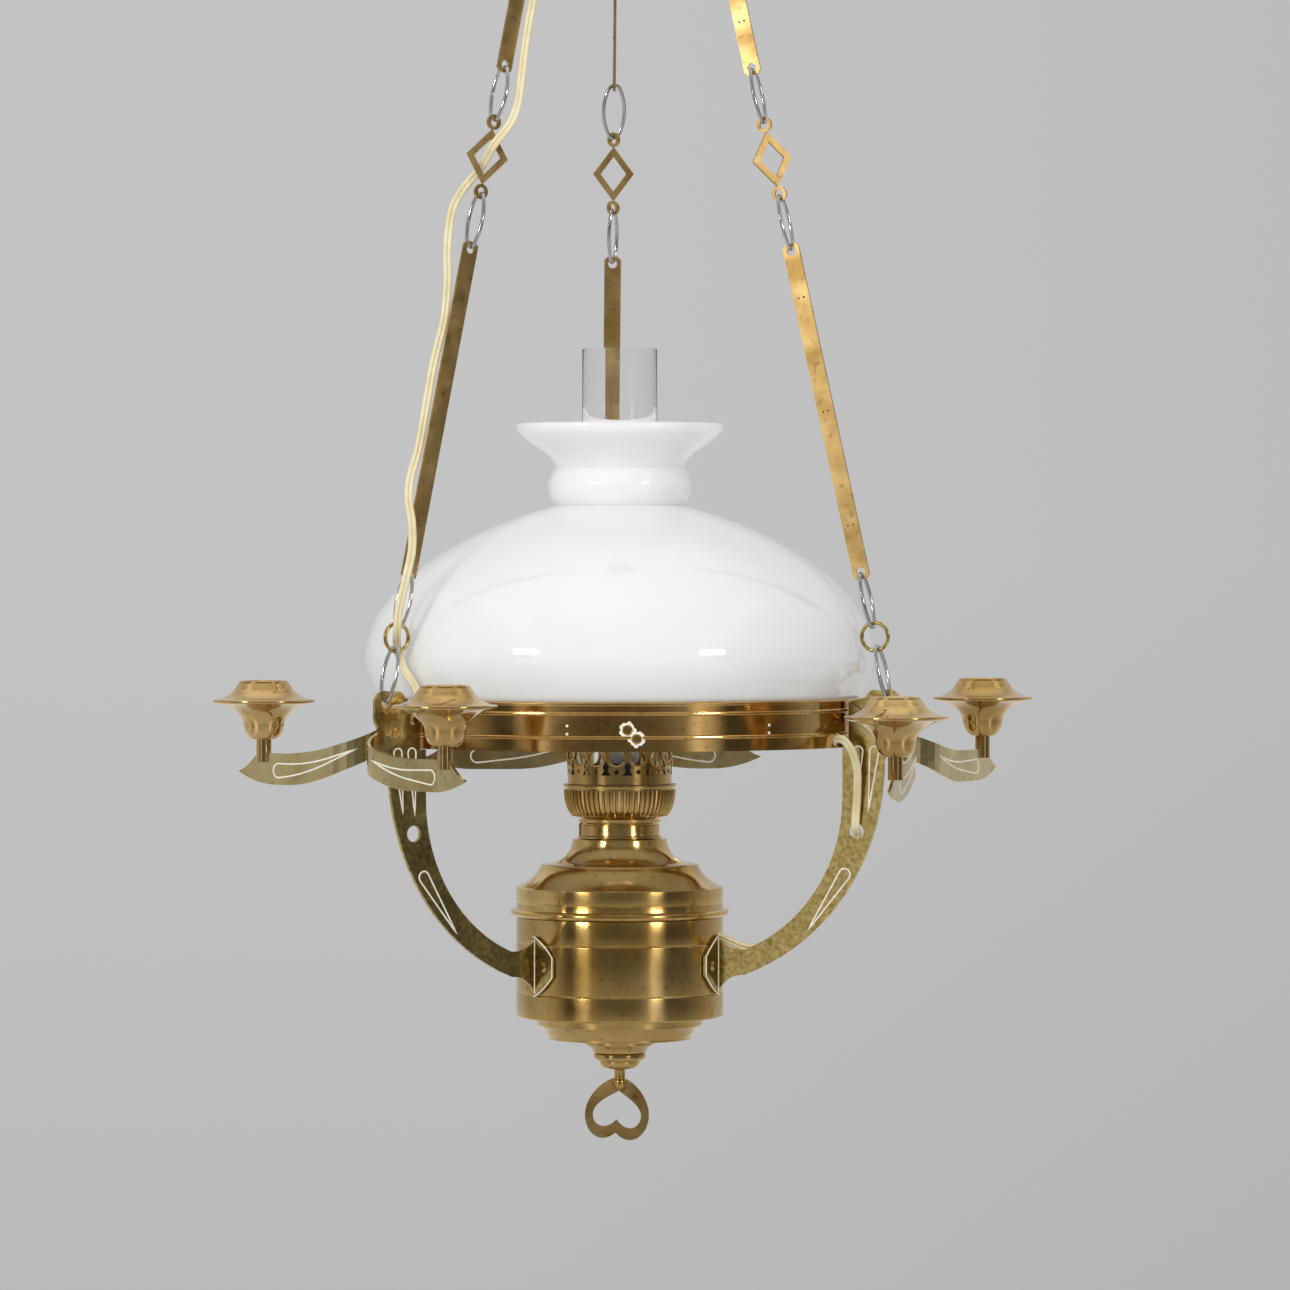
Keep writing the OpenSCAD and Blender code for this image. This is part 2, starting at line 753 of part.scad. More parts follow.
// Heading, place in plan, and top and foot of the strip at a distance along it
function strip_heading(hand, d) = min(max((d - strip_lead()) / bend_r * 180 / PI, 0), bend_angle(hand));
function strip_place(hand, d) =
  let (a = strip_heading(hand, d), past = max(0, d - strip_lead() - bend_length(hand)))
    [strip_start + min(d, strip_lead()) + bend_r * sin(a) + past * cos(a),
      strip_off + bend_r * (1 - cos(a)) + past * sin(a)];
function eased(t) = t * t * (3 - 2 * t);
function strip_middle(hand, d, drop) =
  strip_top_h - strip_fall * (1 - pow(max(0, 1 - d / fall_length), 2))
    - drop * eased(min(1, max(0, (d - strip_lead()) / (strip_to_cup(hand) - strip_lead()))));
function strip_half(d) = (strip_root + (strip_wide - strip_root) * min(1, d / widen_length)) / 2;
function strip_top(hand, d, drop) =
  let (
    half = strip_half(d),
    t = max(0, d - strip_to_cup(hand) - stem_d / 2) / (tip_reach - stem_d / 2)
  ) strip_middle(hand, d, drop) + half - (half + tip_low - tip_half) * (1 - pow(max(0, 1 - t), tip_curve));
function strip_foot(hand, d, drop) =
  let (
    half = strip_half(d),
    t = max(0, d - strip_to_cup(hand) - tip_reach + tail_lift) / tail_lift
  ) strip_middle(hand, d, drop) - half + (half - tip_low - tip_half) * t * t;
function strip_stops(hand) =
  let (shoulder = strip_to_cup(hand) + stem_d / 2, tail = tip_reach - stem_d / 2) concat(
    [for (i = [0:steps_to_cup]) shoulder * i / steps_to_cup],
    [for (i = [1:steps_past_cup]) shoulder + tail * i / steps_past_cup]
  );
function strip_section(hand, d, drop) =
  let (p = strip_place(hand, d), a = strip_heading(hand, d), n = strip_thick / 2 * [-sin(a), cos(a)])
    [for (face = [-1, 1]) for (h = [strip_foot(hand, d, drop), strip_top(hand, d, drop)])
      [p[0] + face * n[0], hand * (p[1] + face * n[1]), h]];

module candle_arm(side, hand, drop) {
  stops = strip_stops(hand);
  last = 4 * (len(stops) - 1);
  points = [for (d = stops) each strip_section(hand, d, drop)];
  walls = [
    for (p = [0:4:last - 4])
      let (q = p + 4)
        each [
          [p, p + 1, q + 1], [p, q + 1, q], [p + 1, p + 3, q + 3], [p + 1, q + 3, q + 1],
          [p + 3, p + 2, q + 2], [p + 3, q + 2, q + 3], [p + 2, p, q], [p + 2, q, q + 2]
        ]
  ];
  ends = [[0, 2, 3], [0, 3, 1], [last, last + 1, last + 3], [last, last + 3, last + 2]];
  faces = concat(walls, ends);
  color(BRASS)
    at_station(side)
      difference() {
        polyhedron(points = points, faces = hand > 0 ? faces : [for (f = faces) backwards(f)]);
        for (place = screw_at)
          translate([place[0], 0, place[1]])
            rotate([90, 0, 0])
              cylinder(d = fixing_d + 2 * fixing_gap, h = 4 * (strip_off + strip_thick), center = true);
      }
}

// A candle cup: a stem slotted over the strip's edge, a bowl, a drip pan and a bore for the candle
module candle_cup(side, hand, drop) {
  at_cup = strip_to_cup(hand);
  place = strip_place(hand, at_cup);
  stem_r = stem_d / 2;
  bore_r = candle_bore / 2;
  pan_r = pan_d / 2;
  mouth = pan_h + mouth_rise;
  bowl_low = pan_h - 20;
  bowl_r = stem_r + 2.3;
  throat = [bore_r + 0.6, pan_h - 12];
  shoulder = [bore_r + 5.2, pan_h + 6];
  color(BRASS)
    at_station(side)
      translate([place[0], hand * place[1], strip_top(hand, at_cup, drop)])
        difference() {
          revolve(concat(
            [[0, -stem_lap], [stem_r, -stem_lap], [stem_r, bowl_low]],
            curve2([bowl_r, bowl_low], [bore_r - 0.2, bowl_low + 1.5], throat, 6),
            without_first(curve2(throat, [bore_r + 1.8, pan_h - 4.5], [pan_r - 1.2, pan_h - 0.9], 8)),
            [[pan_r, pan_h - 0.3], [pan_r, pan_h + 0.3]],
            curve2([pan_r - 1, pan_h + 0.6], [bore_r + 8.5, pan_h + 2.2], shoulder, 6),
            without_first(curve2(shoulder, [bore_r + 3.4, pan_h + 8.6], [bore_r + 2.4, mouth - 0.8], 4)),
            [[bore_r + 1.8, mouth], [0, mouth]]
          ));
          translate([0, 0, mouth - candle_depth])
            cylinder(d = candle_bore, h = candle_depth + 1);
          rotate([0, 0, hand * strip_heading(hand, at_cup)])
            translate([0, 0, seat_gap - stem_d])
              cube([3 * stem_d, strip_thick + 2 * fixing_gap, 2 * stem_d], center = true);
        }
}

module fixing(head_at, length) {
  translate([0, 0, head_at])
    cylinder(d1 = fixing_head, d2 = fixing_head * 0.6, h = 1.4);
  translate([0, 0, head_at - length])
    cylinder(d = fixing_d, h = length + 0.1);
}

// Two screws at each station, through both candle arms and the sheet between them
module arm_screws() {
  reach = strip_off + strip_thick / 2 + fixing_gap;
  color(BRASS)
    for (side = [LEFT, RIGHT, BACK])
      at_station(side)
        for (place = screw_at)
          translate([place[0], 0, place[1]])
            rotate([-90 * screw_hand(side), 0, 0]) {
              fixing(reach, 2 * reach + 2.4);
              translate([0, 0, -reach - 2.4])
                cylinder(d = fixing_head, h = 2.2, $fn = 6);
            }
}
function screw_hand(side) = side == RIGHT ? -1 : 1;

module flange_rivets() {
  mid = (flange_top + flange_foot) / 2;
  color(BRASS)
    for (side = [LEFT, RIGHT, BACK])
      at_station(side)
        rotate([0, 0, flange_hand(side) * rivet_turn()])
          translate([0, 0, mid])
            rotate([0, 90, 0])
              fixing(flange_in + flange_thick + fixing_gap, flange_thick + seat_gap + holder_wall);
}

module ring_rivets() {
  color(BRASS)
    in_lamp()
      for (place = rivet_places)
        rotate([0, 0, place[0]])
          translate([0, 0, place[1]])
            rotate([0, 90, 0])
              fixing(band_r + fixing_gap, band_wall + fixing_gap);
}

// The font holder: a straight cup with a stepped foot and a boss for the finial
module font_holder() {
  in_r = holder_r - holder_wall;
  step = holder_r - 11;
  foot = holder_floor - foot_depth;
  mid = (flange_top + flange_foot) / 2;
  color(BRASS)
    in_lamp()
      difference() {
        revolve(concat(
          [[in_r, holder_rim], [holder_r, holder_rim], [holder_r, holder_floor], [step, holder_floor - 1]],
          curve2([step, holder_floor - 4.5], [step - 3, holder_floor - 6.5],
            [step - 4, holder_floor - 8.5], 4),
          [[step - 6, holder_floor - 10.8], [step - 6, foot], [boss_r, foot], [boss_r, foot - 3]],
          curve2([boss_r, foot - 3], [boss_r - 4, foot - boss_height + 2],
            [boss_r - 4.3, foot - boss_height], 4),
          [[0, foot - boss_height], [0, foot + holder_wall], [step - 6 - holder_wall, foot + holder_wall]],
          [[step - 2 * holder_wall, holder_floor + holder_wall], [in_r, holder_floor + holder_wall]]
        ));
        for (side = [LEFT, RIGHT, BACK])
          rotate([0, 0, bearing[side] + flange_hand(side) * rivet_turn()])
            translate([holder_r, 0, mid])
              rotate([0, 90, 0])
                cylinder(d = fixing_d + 2 * fixing_gap, h = 4 * holder_wall, center = true);
        flex_bore();
      }
}

// The hole through the holder and the font by which the flex goes in
module flex_bore() {
  rotate([0, 0, bearing[RIGHT]])
    translate([holder_r, FLEX_SIDE, FLEX_ENTRY])
      rotate([0, 90, 0])
        cylinder(d = flex_d + 4 * slide_gap, h = 10 * holder_wall, center = true);
}

module font() {
  in_r = holder_r - holder_wall - slide_gap;
  foot = holder_floor + holder_wall + seat_gap;
  outside = concat(
    [[in_r, foot], [in_r, font_seat], [holder_r + font_bead - bead_h / 2, font_seat]],
    arc([holder_r + font_bead - bead_h / 2, font_seat + bead_h / 2], bead_h / 2, -80, 90, 8),
    [[holder_r, font_band_foot], [holder_r, band_top]],
    curve2([holder_r - 0.5, band_top], [step_r + 2.5, band_top + 4.2], [step_r, step_top], 8),
    curve2([step_r - 6, step_top + 1.4], [collar_r + 1, step_top + 3.6], [collar_r, collar_top], 8)
  );
  color(BRASS)
    in_lamp()
      difference() {
        revolve(concat([[0, foot]], outside, [[0, collar_top]]));
        revolve(concat(
          [[0, foot + font_wall], [in_r - font_wall, foot + font_wall], [in_r - font_wall, band_top - 2]],
          [[step_r - 3, step_top - 3], [collar_r - 5, step_top - 2], [screw_r + slide_gap, step_top]],
          [[screw_r + slide_gap, collar_top + 1], [0, collar_top + 1]]
        ));
        flex_bore();
      }
}

module burner() {
  neck_in = neck_r - burner_wall - 0.4;
  bowl = concat(
    curve3([neck_r + 0.6, bowl_foot], [bowl_r - 2, bowl_foot + 2], [bowl_r, bowl_foot + bowl_h * 0.5],
      [bowl_r, bowl_top - 1], 12),
    [[bowl_r, bowl_top]]
  );
  color(BRASS)
    in_lamp()
      difference() {
        revolve(concat(
          [[0, burner_floor - 1], [screw_r - 2, burner_floor - 1], [screw_r - 2, burner_foot - screw_depth]],
          [[screw_r, burner_foot - screw_depth], [screw_r, burner_foot], [neck_r + 1, burner_foot]],
          [[neck_r + 1, burner_foot + 1.2], [neck_r, burner_foot + 1.6], [neck_r, bowl_foot - 3]],
          [[neck_r - 0.4, bowl_foot - 3], [neck_r - 0.4, bowl_foot - 2.2], [neck_r + 0.6, bowl_foot - 1.4]],
          bowl,
          [[bowl_r + flange_reach, bowl_top], [bowl_r + flange_reach, bowl_top + flange_plate]],
          [[chimney_foot_r - 3, bowl_top + flange_plate], [chimney_foot_r - 3, bowl_top - 2]],
          backwards(beside(without_first(bowl), burner_wall)),
          [[neck_in, bowl_foot - 1], [neck_in, burner_floor + burner_wall]],
          [[0, burner_floor + burner_wall]]
        ));
        rotate([0, 0, 192])
          translate([neck_r, 0, burner_foot + neck_h * 0.5])
            rotate([0, 90, 0])
              cylinder(d = winder_hole, h = 6 * burner_wall, center = true);
        translate([0, 0, burner_floor])
          cylinder(d = flex_d + 2 * slide_gap, h = 6 * burner_wall, center = true);
      }
}

// The pierced gallery: a row of round holes, with vase-shaped gaps between and small diamonds below
module gallery() {
  hole_h = gallery_foot + gallery_h * 0.58;
  gap = 1.9;
  color(BRASS)
    in_lamp()
      difference() {
        translate([0, 0, gallery_foot])
          difference() {
            cylinder(r = gallery_r, h = gallery_h);
            translate([0, 0, -1])
              cylinder(r = gallery_r - gallery_wall, h = gallery_h + 2);
          }
        for (i = [0:gallery_holes - 1])
          rotate([0, 0, GALLERY_FRONT + i * 360 / gallery_holes]) {
            translate([gallery_r, 0, hole_h])
              rotate([0, 90, 0])
                cylinder(d = gallery_hole_d, h = 4, center = true);
            translate([gallery_r, 0, hole_h - 7.2])
              rotate([0, 90, 0])
                cylinder(r = 1.5, h = 4, center = true, $fn = 4);
            rotate([0, 0, 180 / gallery_holes])
              translate([gallery_r, 0, hole_h])
                rotate([90, 0, 90])
                  linear_extrude(4, center = true)
                    polygon([
                      [0.45, -1.2], [gap / 2, -3], [gap, -4.8], [gap / 1.8, -6.4], [1.4 * gap, -9],
                      [-1.4 * gap, -9], [-gap / 1.8, -6.4], [-gap, -4.8], [-gap / 2, -3], [-0.45, -1.2]
                    ]);
          }
      }
}

module lamp_socket() {
  color(BAKELITE)
    in_lamp()
      translate([0, 0, socket_foot])
        difference() {
          cylinder(d = socket_d, h = socket_length);
          translate([0, 0, socket_length - 24])
            cylinder(d = 14 + 2 * slide_gap, h = 25);
        }
}

module bulb() {
  half = bulb_d / 2;
  color(OPAL)
    in_lamp()
      translate([0, 0, bulb_foot])
        revolve(concat(
          [[0, -22], [5, -22], [7, -18], [7, 0], [9, 0.4]],
          curve3([9, 1], [half, bulb_length * 0.2], [half, bulb_length * 0.55],
            [half * 0.42, bulb_length * 0.85], 12),
          curve2([half * 0.36, bulb_length * 0.88], [half * 0.2, bulb_length], [0, bulb_length], 5)
        ));
}

// The turned finial, slotted at its ball for the heart
module bottom_finial() {
  disc = finial_r;
  color(BRASS)
    in_lamp()
      difference() {
        union() {
          translate([0, 0, finial_top])
            revolve(concat(
              [[0, 0], [disc - 0.6, 0], [disc, -0.6], [disc, -2.4], [disc - 0.8, -3.4], [disc - 3, -4]],
              curve2([disc - 3, -4.6], [disc - 3.2, -7.4], [disc - 7, -8.4], 5),
              [[2.9, -9.2], [2.9, -finial_length], [0, -finial_length]]
            ));
          translate([0, 0, ball_at])
            sphere(r = ball_r);
        }
        translate([0, 0, ball_at + slot_rise - 2 * ball_r])
          cube([4 * ball_r, heart_thick + 2 * heart_gap, 4 * ball_r], center = true);
        translate([0, 0, ball_at])
          rotate([90, 0, 0])
            cylinder(d = pin_d + 2 * fixing_gap, h = 4 * ball_r, center = true);
      }
}

module heart_pin() {
  color(BRASS)
    in_lamp()
      translate([0, 0, ball_at])
        rotate([90, 0, 0])
          cylinder(d = pin_d, h = 2 * ball_r, center = true);
}

// The heart, point up: half of its outer and of its inner line, each down from the point to the notch
function heart_outer() =
  let (half = heart_width / 2, side = [half, -0.57 * heart_depth]) concat(
    curve3([0, heart_apex], [0.45 * half, 0.8 * heart_apex], [half, -0.25 * heart_depth], side, 10),
    without_first(curve3(side, [half, -0.9 * heart_depth], [0.5 * half, -1.16 * heart_depth],
      [0, -0.89 * heart_depth], 12))
  );
function heart_inner() =
  let (half = heart_width / 2 - heart_strip, side = [half, -0.57 * heart_depth]) concat(
    curve3([0, -0.14 * heart_depth], [0.4 * half, -0.25 * heart_depth], [half, -0.39 * heart_depth],
      side, 10),
    without_first(curve3(side, [half, -0.8 * heart_depth], [0.43 * half, -0.89 * heart_depth],
      [0, -0.65 * heart_depth], 12))
  );
function both_sides(line) = concat(line, [for (i = [len(line) - 2:-1:1]) [-line[i][0], line[i][1]]]);

module heart() {
  color(BRASS)
    in_lamp()
      translate([0, 0, ball_at])
        plate(heart_thick)
          rotate(-heart_tilt)
            difference() {
              polygon(both_sides(heart_outer()));
              polygon(both_sides(heart_inner()));
              circle(d = pin_d + 2 * heart_gap);
            }
}

// The flex: laced down the left chain, through the ring's band, round inside it and down the right arm
FLEX_IN = bearing[LEFT] + 6.5;
FLEX_OUT = bearing[RIGHT] - 5.9;
FLEX_SIDE = 3.9;
FLEX_ENTRY = -97.2;
flex_h = 8;
rivet_places = [[272, 14.5], [274.1, 9.9]];
GALLERY_FRONT = 267;
flex_chain = [
  [-16, -13, 4], [0, -11, 5], [16, -9, 5], [32, -8, 4.5], [60, -7.6, 3.6], [100, -7.6, 3.2],
  [145, -7.6, 3.2], [185, -7.8, 3.6], [206, -8.6, 4.6], [222, -8.2, 6.4], [234, -4.6, 8.2],
  [246, 1.4, 6.6], [252.5, 0, 0], [259, -1.4, -6.6], [268, 3.4, -9], [280, 10, -7], [292, 12.4, -4.6],
  [306, 11, -4], [320, 7.6, -4], [340, 5, -4], [366, 6.4, -4], [390, 6, -4], [410, 5.6, -4.2],
  [426, 7.8, -3.4], [438, 9, 0.4], [450, 7, 4.4], [464, 4.4, 5.2], [480, 4.4, 4.6], [494, 5, 4.6],
  [502, 4.2, 4.4], [506, 2.4, 2.8], [509, 0, 0], [512, -2.8, -2.8], [517, -6, -3.6], [524, -9.6, -1.6],
  [530, -13, 3], [538, -16.6, 8]
];
flex_round_r = band_in - 3.6;
flex_round_h = 7.2;
flex_steps = 8;
flex_in = [
  [band_r + 6, 5, 22], [band_r + 5.4, 6.2, 14], [band_r + 3, 6.5, 9.4], [band_r - 0.6, 6.5, flex_h],
  [flex_round_r + 1, 7.5, flex_h - 0.4]
];
flex_out = [[flex_round_r + 1.1, -1.6, flex_h - 0.4], [band_r - 0.6, 0, flex_h]];
flex_arm = [
  [band_r + 2.9, -13, 7.5], [band_r + 6.4, -10, 2], [arm_foot_in + 10, -6, -8], [arm_foot_in + 9.5, -4, -20],
  [arm_foot_in + 8.5, -3.6, -32], [arm_hole_at[0] + 0.2, -2.6, 2.9 - arm_hole_drop],
  [arm_hole_at[0], 0, -arm_hole_drop], [arm_hole_at[0] - 1.1, 2.8, -3.1 - arm_hole_drop],
  [arm_foot_in - 0.5, 4, -58], [arm_foot_in - 10.5, 4.2, -76], [arm_foot_in - 24.5, 4.2, -92],
  [holder_r + 31, 4.2, -101], [holder_r + 17, 4, -103], [holder_r + 7, 4, -100],
  [holder_r + 1, FLEX_SIDE, -97.5],
  [holder_r - 5, 3.5, -97], [30, 2, -92], [10, 0, -82], [0, 0, -70], [0, 0, -52], [0, 0, -43.5]
];
flex_points = concat(
  [for (p = flex_chain) chain_place(LEFT, p)],
  [for (p = flex_in) round_place([p[0], bearing[LEFT] + p[1], p[2]])],
  [for (i = [1:flex_steps - 1])
    round_place([flex_round_r, FLEX_IN + (FLEX_OUT - FLEX_IN) * i / flex_steps, flex_round_h])],
  [for (p = flex_out) round_place([p[0], FLEX_OUT + p[1], p[2]])],
  [for (p = flex_arm) station_place(RIGHT, p)]
);
function tangents(line) = [
  for (i = [0:len(line) - 1]) unit(line[min(i + 1, len(line) - 1)] - line[max(i - 1, 0)])
];
function carried(along, n, i = 0) =
  i == len(along) ? [] :
  let (m = unit(n - (n * along[i]) * along[i])) concat([m], carried(along, m, i + 1));

module flex() {
  sides = 8;
  along = tangents(flex_points);
  across = carried(along, [1, 0, 0]);
  rings = len(flex_points);
  points = [
    for (i = [0:rings - 1])
      for (k = [0:sides - 1])
        let (a = k * 360 / sides)
          flex_points[i] + flex_d / 2 * (cos(a) * across[i] + sin(a) * cross(along[i], across[i]))
  ];
  walls = [
    for (i = [0:rings - 2])
      for (k = [0:sides - 1])
        let (p = sides * i + k, q = sides * i + (k + 1) % sides)
          each [[p, p + sides, q + sides], [p, q + sides, q]]
  ];
  caps = [
    for (k = [1:sides - 2])
      each [[0, k, k + 1], sides * (rings - 1) * [1, 1, 1] + [0, k + 1, k]]
  ];
  color(CREAM)
    polyhedron(points = points, faces = concat(walls, caps));
}

crown();
for (side = [LEFT, RIGHT, BACK]) {
  name = SIDES[side];
  twist = twist_step[side];
  on_chain(side, crown_link_at, 0) oval_link();
  on_chain(side, upper_bar_at, 0) bar();
  on_chain(side, upper_link_at, twist) oval_link();
  on_chain(side, diamond_at, 2 * twist) diamond(face_turn[side]);
  on_chain(side, middle_link_at, 3 * twist) oval_link();
  on_chain(side, lower_bar_at, 4 * twist) bar();
  on_chain(side, lower_link_at, 3 * twist) oval_link();
  on_chain(side, round_ring_at, 2 * twist) round_ring();
  on_chain(side, ear_link_at, twist) oval_link();
  support_arm(side, flange_hand(side));
}
candle_arm(LEFT, 1, 0);  // left_front_candle_arm
candle_arm(LEFT, -1, 0);  // left_side_candle_arm
candle_arm(RIGHT, -1, bent_drop);  // right_front_candle_arm
candle_arm(RIGHT, 1, 0);  // right_side_candle_arm
candle_arm(BACK, 1, 0);  // back_left_candle_arm
candle_arm(BACK, -1, 0);  // back_right_candle_arm
candle_cup(LEFT, 1, 0);  // left_front_candle_cup
candle_cup(LEFT, -1, 0);  // left_side_candle_cup
candle_cup(RIGHT, -1, bent_drop);  // right_front_candle_cup
candle_cup(RIGHT, 1, 0);  // right_side_candle_cup
candle_cup(BACK, 1, 0);  // back_left_candle_cup
candle_cup(BACK, -1, 0);  // back_right_candle_cup
arm_screws();
flange_rivets();
ring_rivets();
shade_ring();
shade();
chimney();
gallery();
burner();
lamp_socket();
bulb();
font();
font_holder();
bottom_finial();
heart_pin();
heart();
flex();
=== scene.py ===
"""A brass hanging lamp with an opal shade, three bar chains, six candle cups and a later flex."""

import math

import bmesh
import bpy
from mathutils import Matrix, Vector


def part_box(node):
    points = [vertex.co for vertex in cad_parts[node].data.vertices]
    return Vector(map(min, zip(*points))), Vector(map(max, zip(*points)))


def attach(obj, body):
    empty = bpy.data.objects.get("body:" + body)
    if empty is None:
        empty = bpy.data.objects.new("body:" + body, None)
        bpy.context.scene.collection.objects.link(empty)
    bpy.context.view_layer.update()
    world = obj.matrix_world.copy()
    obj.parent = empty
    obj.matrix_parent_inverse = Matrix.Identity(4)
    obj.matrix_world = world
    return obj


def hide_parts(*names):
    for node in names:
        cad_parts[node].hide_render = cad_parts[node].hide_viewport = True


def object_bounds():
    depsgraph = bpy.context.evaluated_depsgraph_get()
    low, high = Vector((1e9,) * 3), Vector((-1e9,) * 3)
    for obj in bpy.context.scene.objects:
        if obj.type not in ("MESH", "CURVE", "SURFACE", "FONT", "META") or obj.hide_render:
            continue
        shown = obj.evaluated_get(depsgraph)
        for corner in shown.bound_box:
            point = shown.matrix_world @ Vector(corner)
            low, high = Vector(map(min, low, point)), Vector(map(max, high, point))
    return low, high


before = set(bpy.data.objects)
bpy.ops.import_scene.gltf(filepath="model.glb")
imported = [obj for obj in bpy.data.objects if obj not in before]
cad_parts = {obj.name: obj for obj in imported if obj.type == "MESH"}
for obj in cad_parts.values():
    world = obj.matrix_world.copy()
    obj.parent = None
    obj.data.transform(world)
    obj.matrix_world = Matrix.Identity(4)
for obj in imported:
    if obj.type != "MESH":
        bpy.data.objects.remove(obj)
cad_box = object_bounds()

# Sizes repeat the model's own, in millimetres. Heights count from a level line just under the
# shade ring's foot.
MM = 0.001
RING_FOOT, BAND_R, HOLDER_R = 3.4, 128.6, 55.0
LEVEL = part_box("shade_ring")[0][2] / MM - RING_FOOT
BEARING = {"left": 217.4, "right": 337.4, "back": 92.5}
LUG_R, LUG_DROP, EAR_R, CHAIN_LENGTH = 29.7, 46.0, 152.0, 543.7
CHAIN_LEAN = math.asin((EAR_R - LUG_R) / CHAIN_LENGTH)
LINKS = ("crown_link", "upper_link", "middle_link", "lower_link", "ear_link")
# Each candle arm: its station, the hand it bends to, and how far its end has sunk.
CANDLE_ARMS = {
    "left_front": ("left", 1, 0.0), "left_side": ("left", -1, 0.0),
    "right_front": ("right", -1, 6.7), "right_side": ("right", 1, 0.0),
    "back_left": ("back", 1, 0.0), "back_right": ("back", -1, 0.0),
}
SPIN_STEPS = 144
SHARP_ANGLE = math.radians(32)
MERGE_GAP = 1e-6


# ---- Places -------------------------------------------------------------------------------------

def turned(x, y, degrees):
    """A flat point turned about its origin."""
    a = math.radians(degrees)
    return x * math.cos(a) - y * math.sin(a), x * math.sin(a) + y * math.cos(a)


def chain_place(side, down, out, across):
    """A point beside a chain: down it from the lug's hole, out from it, and across it."""
    x = LUG_R + down * math.sin(CHAIN_LEAN) + out * math.cos(CHAIN_LEAN)
    z = -LUG_DROP - down * math.cos(CHAIN_LEAN) + out * math.sin(CHAIN_LEAN)
    return Vector((*turned(x, across, BEARING[side]), z)) * MM


def round_place(r, bearing, height):
    """A point at a radius and a bearing from the lamp's axis."""
    return Vector((*turned(r, 0, bearing), LEVEL + height)) * MM


def station_place(side, out, across, height):
    """A point out along a station's bearing and across it."""
    return Vector((*turned(out, across, BEARING[side]), LEVEL + height)) * MM


def bezier(points, steps):
    """Points along a Bezier curve of any degree."""
    line = []
    for i in range(steps + 1):
        row = [Vector(p) for p in points]
        while len(row) > 1:
            row = [a.lerp(b, i / steps) for a, b in zip(row, row[1:])]
        line.append(tuple(row[0]))
    return line


def arc(centre, radius, start, end, steps):
    """Points along part of a circle, between two angles in degrees."""
    angles = [math.radians(start + (end - start) * i / steps) for i in range(steps + 1)]
    return [(centre[0] + radius * math.cos(a), centre[1] + radius * math.sin(a)) for a in angles]


def inside(line, wall):
    """The line moved to its left by a wall's thickness."""
    moved = []
    for i, (r, z) in enumerate(line):
        before, after = line[max(i - 1, 0)], line[min(i + 1, len(line) - 1)]
        along = (Vector(after) - Vector(before)).normalized()
        moved.append((r - along[1] * wall, z + along[0] * wall))
    return moved


# ---- Materials ----------------------------------------------------------------------------------

WHITE, SPECK = (1, 1, 1), (0.35, 0.3, 0.24)
NOISE_LOW, NOISE_HIGH = 0.3, 0.7


def grey(value):
    return (value, value, value)


def new_material(name):
    """A material with its node tree and its main shader."""
    material = bpy.data.materials.new(name)
    material.use_nodes = True
    tree = material.node_tree
    return material, tree, tree.nodes["Principled BSDF"]


def noise(tree, scale, detail=4.0, stretch=(1, 1, 1)):
    """A noise pattern on Object coordinates; stretch squeezes it along an axis."""
    place = tree.nodes.new("ShaderNodeTexCoord")
    mapping = tree.nodes.new("ShaderNodeMapping")
    mapping.inputs["Scale"].default_value = stretch
    pattern = tree.nodes.new("ShaderNodeTexNoise")
    pattern.inputs["Scale"].default_value = scale
    pattern.inputs["Detail"].default_value = detail
    tree.links.new(place.outputs["Object"], mapping.inputs["Vector"])
    tree.links.new(mapping.outputs["Vector"], pattern.inputs["Vector"])
    return pattern.outputs["Fac"]


def ramp(tree, source, stops):
    """A colour ramp of (position, colour) stops."""
    node = tree.nodes.new("ShaderNodeValToRGB")
    elements = node.color_ramp.elements
    elements[0].position, elements[1].position = stops[0][0], stops[-1][0]
    for position, _ in stops[1:-1]:
        elements.new(position)
    for element, (_, colour) in zip(elements, stops):
        element.color = (*colour, 1.0)
    tree.links.new(source, node.inputs["Fac"])
    return node.outputs["Color"]


def spread(tree, source, start, end, low=0.0, high=1.0):
    """A value's run from start to end, made one from low to high."""
    node = tree.nodes.new("ShaderNodeMapRange")
    node.inputs["From Min"].default_value = start
    node.inputs["From Max"].default_value = end
    node.inputs["To Min"].default_value = low
    node.inputs["To Max"].default_value = high
    tree.links.new(source, node.inputs["Value"])
    return node.outputs["Result"]


def level(tree, source, low, high):
    """A noise pattern stretched between two values."""
    return spread(tree, source, NOISE_LOW, NOISE_HIGH, low, high)


def mixed(tree, factor, first, second, blend="MIX"):
    """Two colours mixed. Each input is another node's output or a plain value."""
    node = tree.nodes.new("ShaderNodeMix")
    node.data_type, node.blend_type = "RGBA", blend
    for name, value in (("Factor", factor), ("A", first), ("B", second)):
        if isinstance(value, bpy.types.NodeSocket):
            tree.links.new(value, node.inputs[name])
        else:
            node.inputs[name].default_value = value
    return node.outputs["Result"]


def larger(tree, first, second):
    """The larger of two values."""
    node = tree.nodes.new("ShaderNodeMath")
    node.operation = "MAXIMUM"
    tree.links.new(first, node.inputs[0])
    tree.links.new(second, node.inputs[1])
    return node.outputs["Value"]


def bumped(tree, shader, source, strength, distance):
    """A fine relief on a shader, from a pattern."""
    node = tree.nodes.new("ShaderNodeBump")
    node.inputs["Strength"].default_value = strength
    node.inputs["Distance"].default_value = distance
    tree.links.new(source, node.inputs["Height"])
    tree.links.new(node.outputs["Normal"], shader.inputs["Normal"])


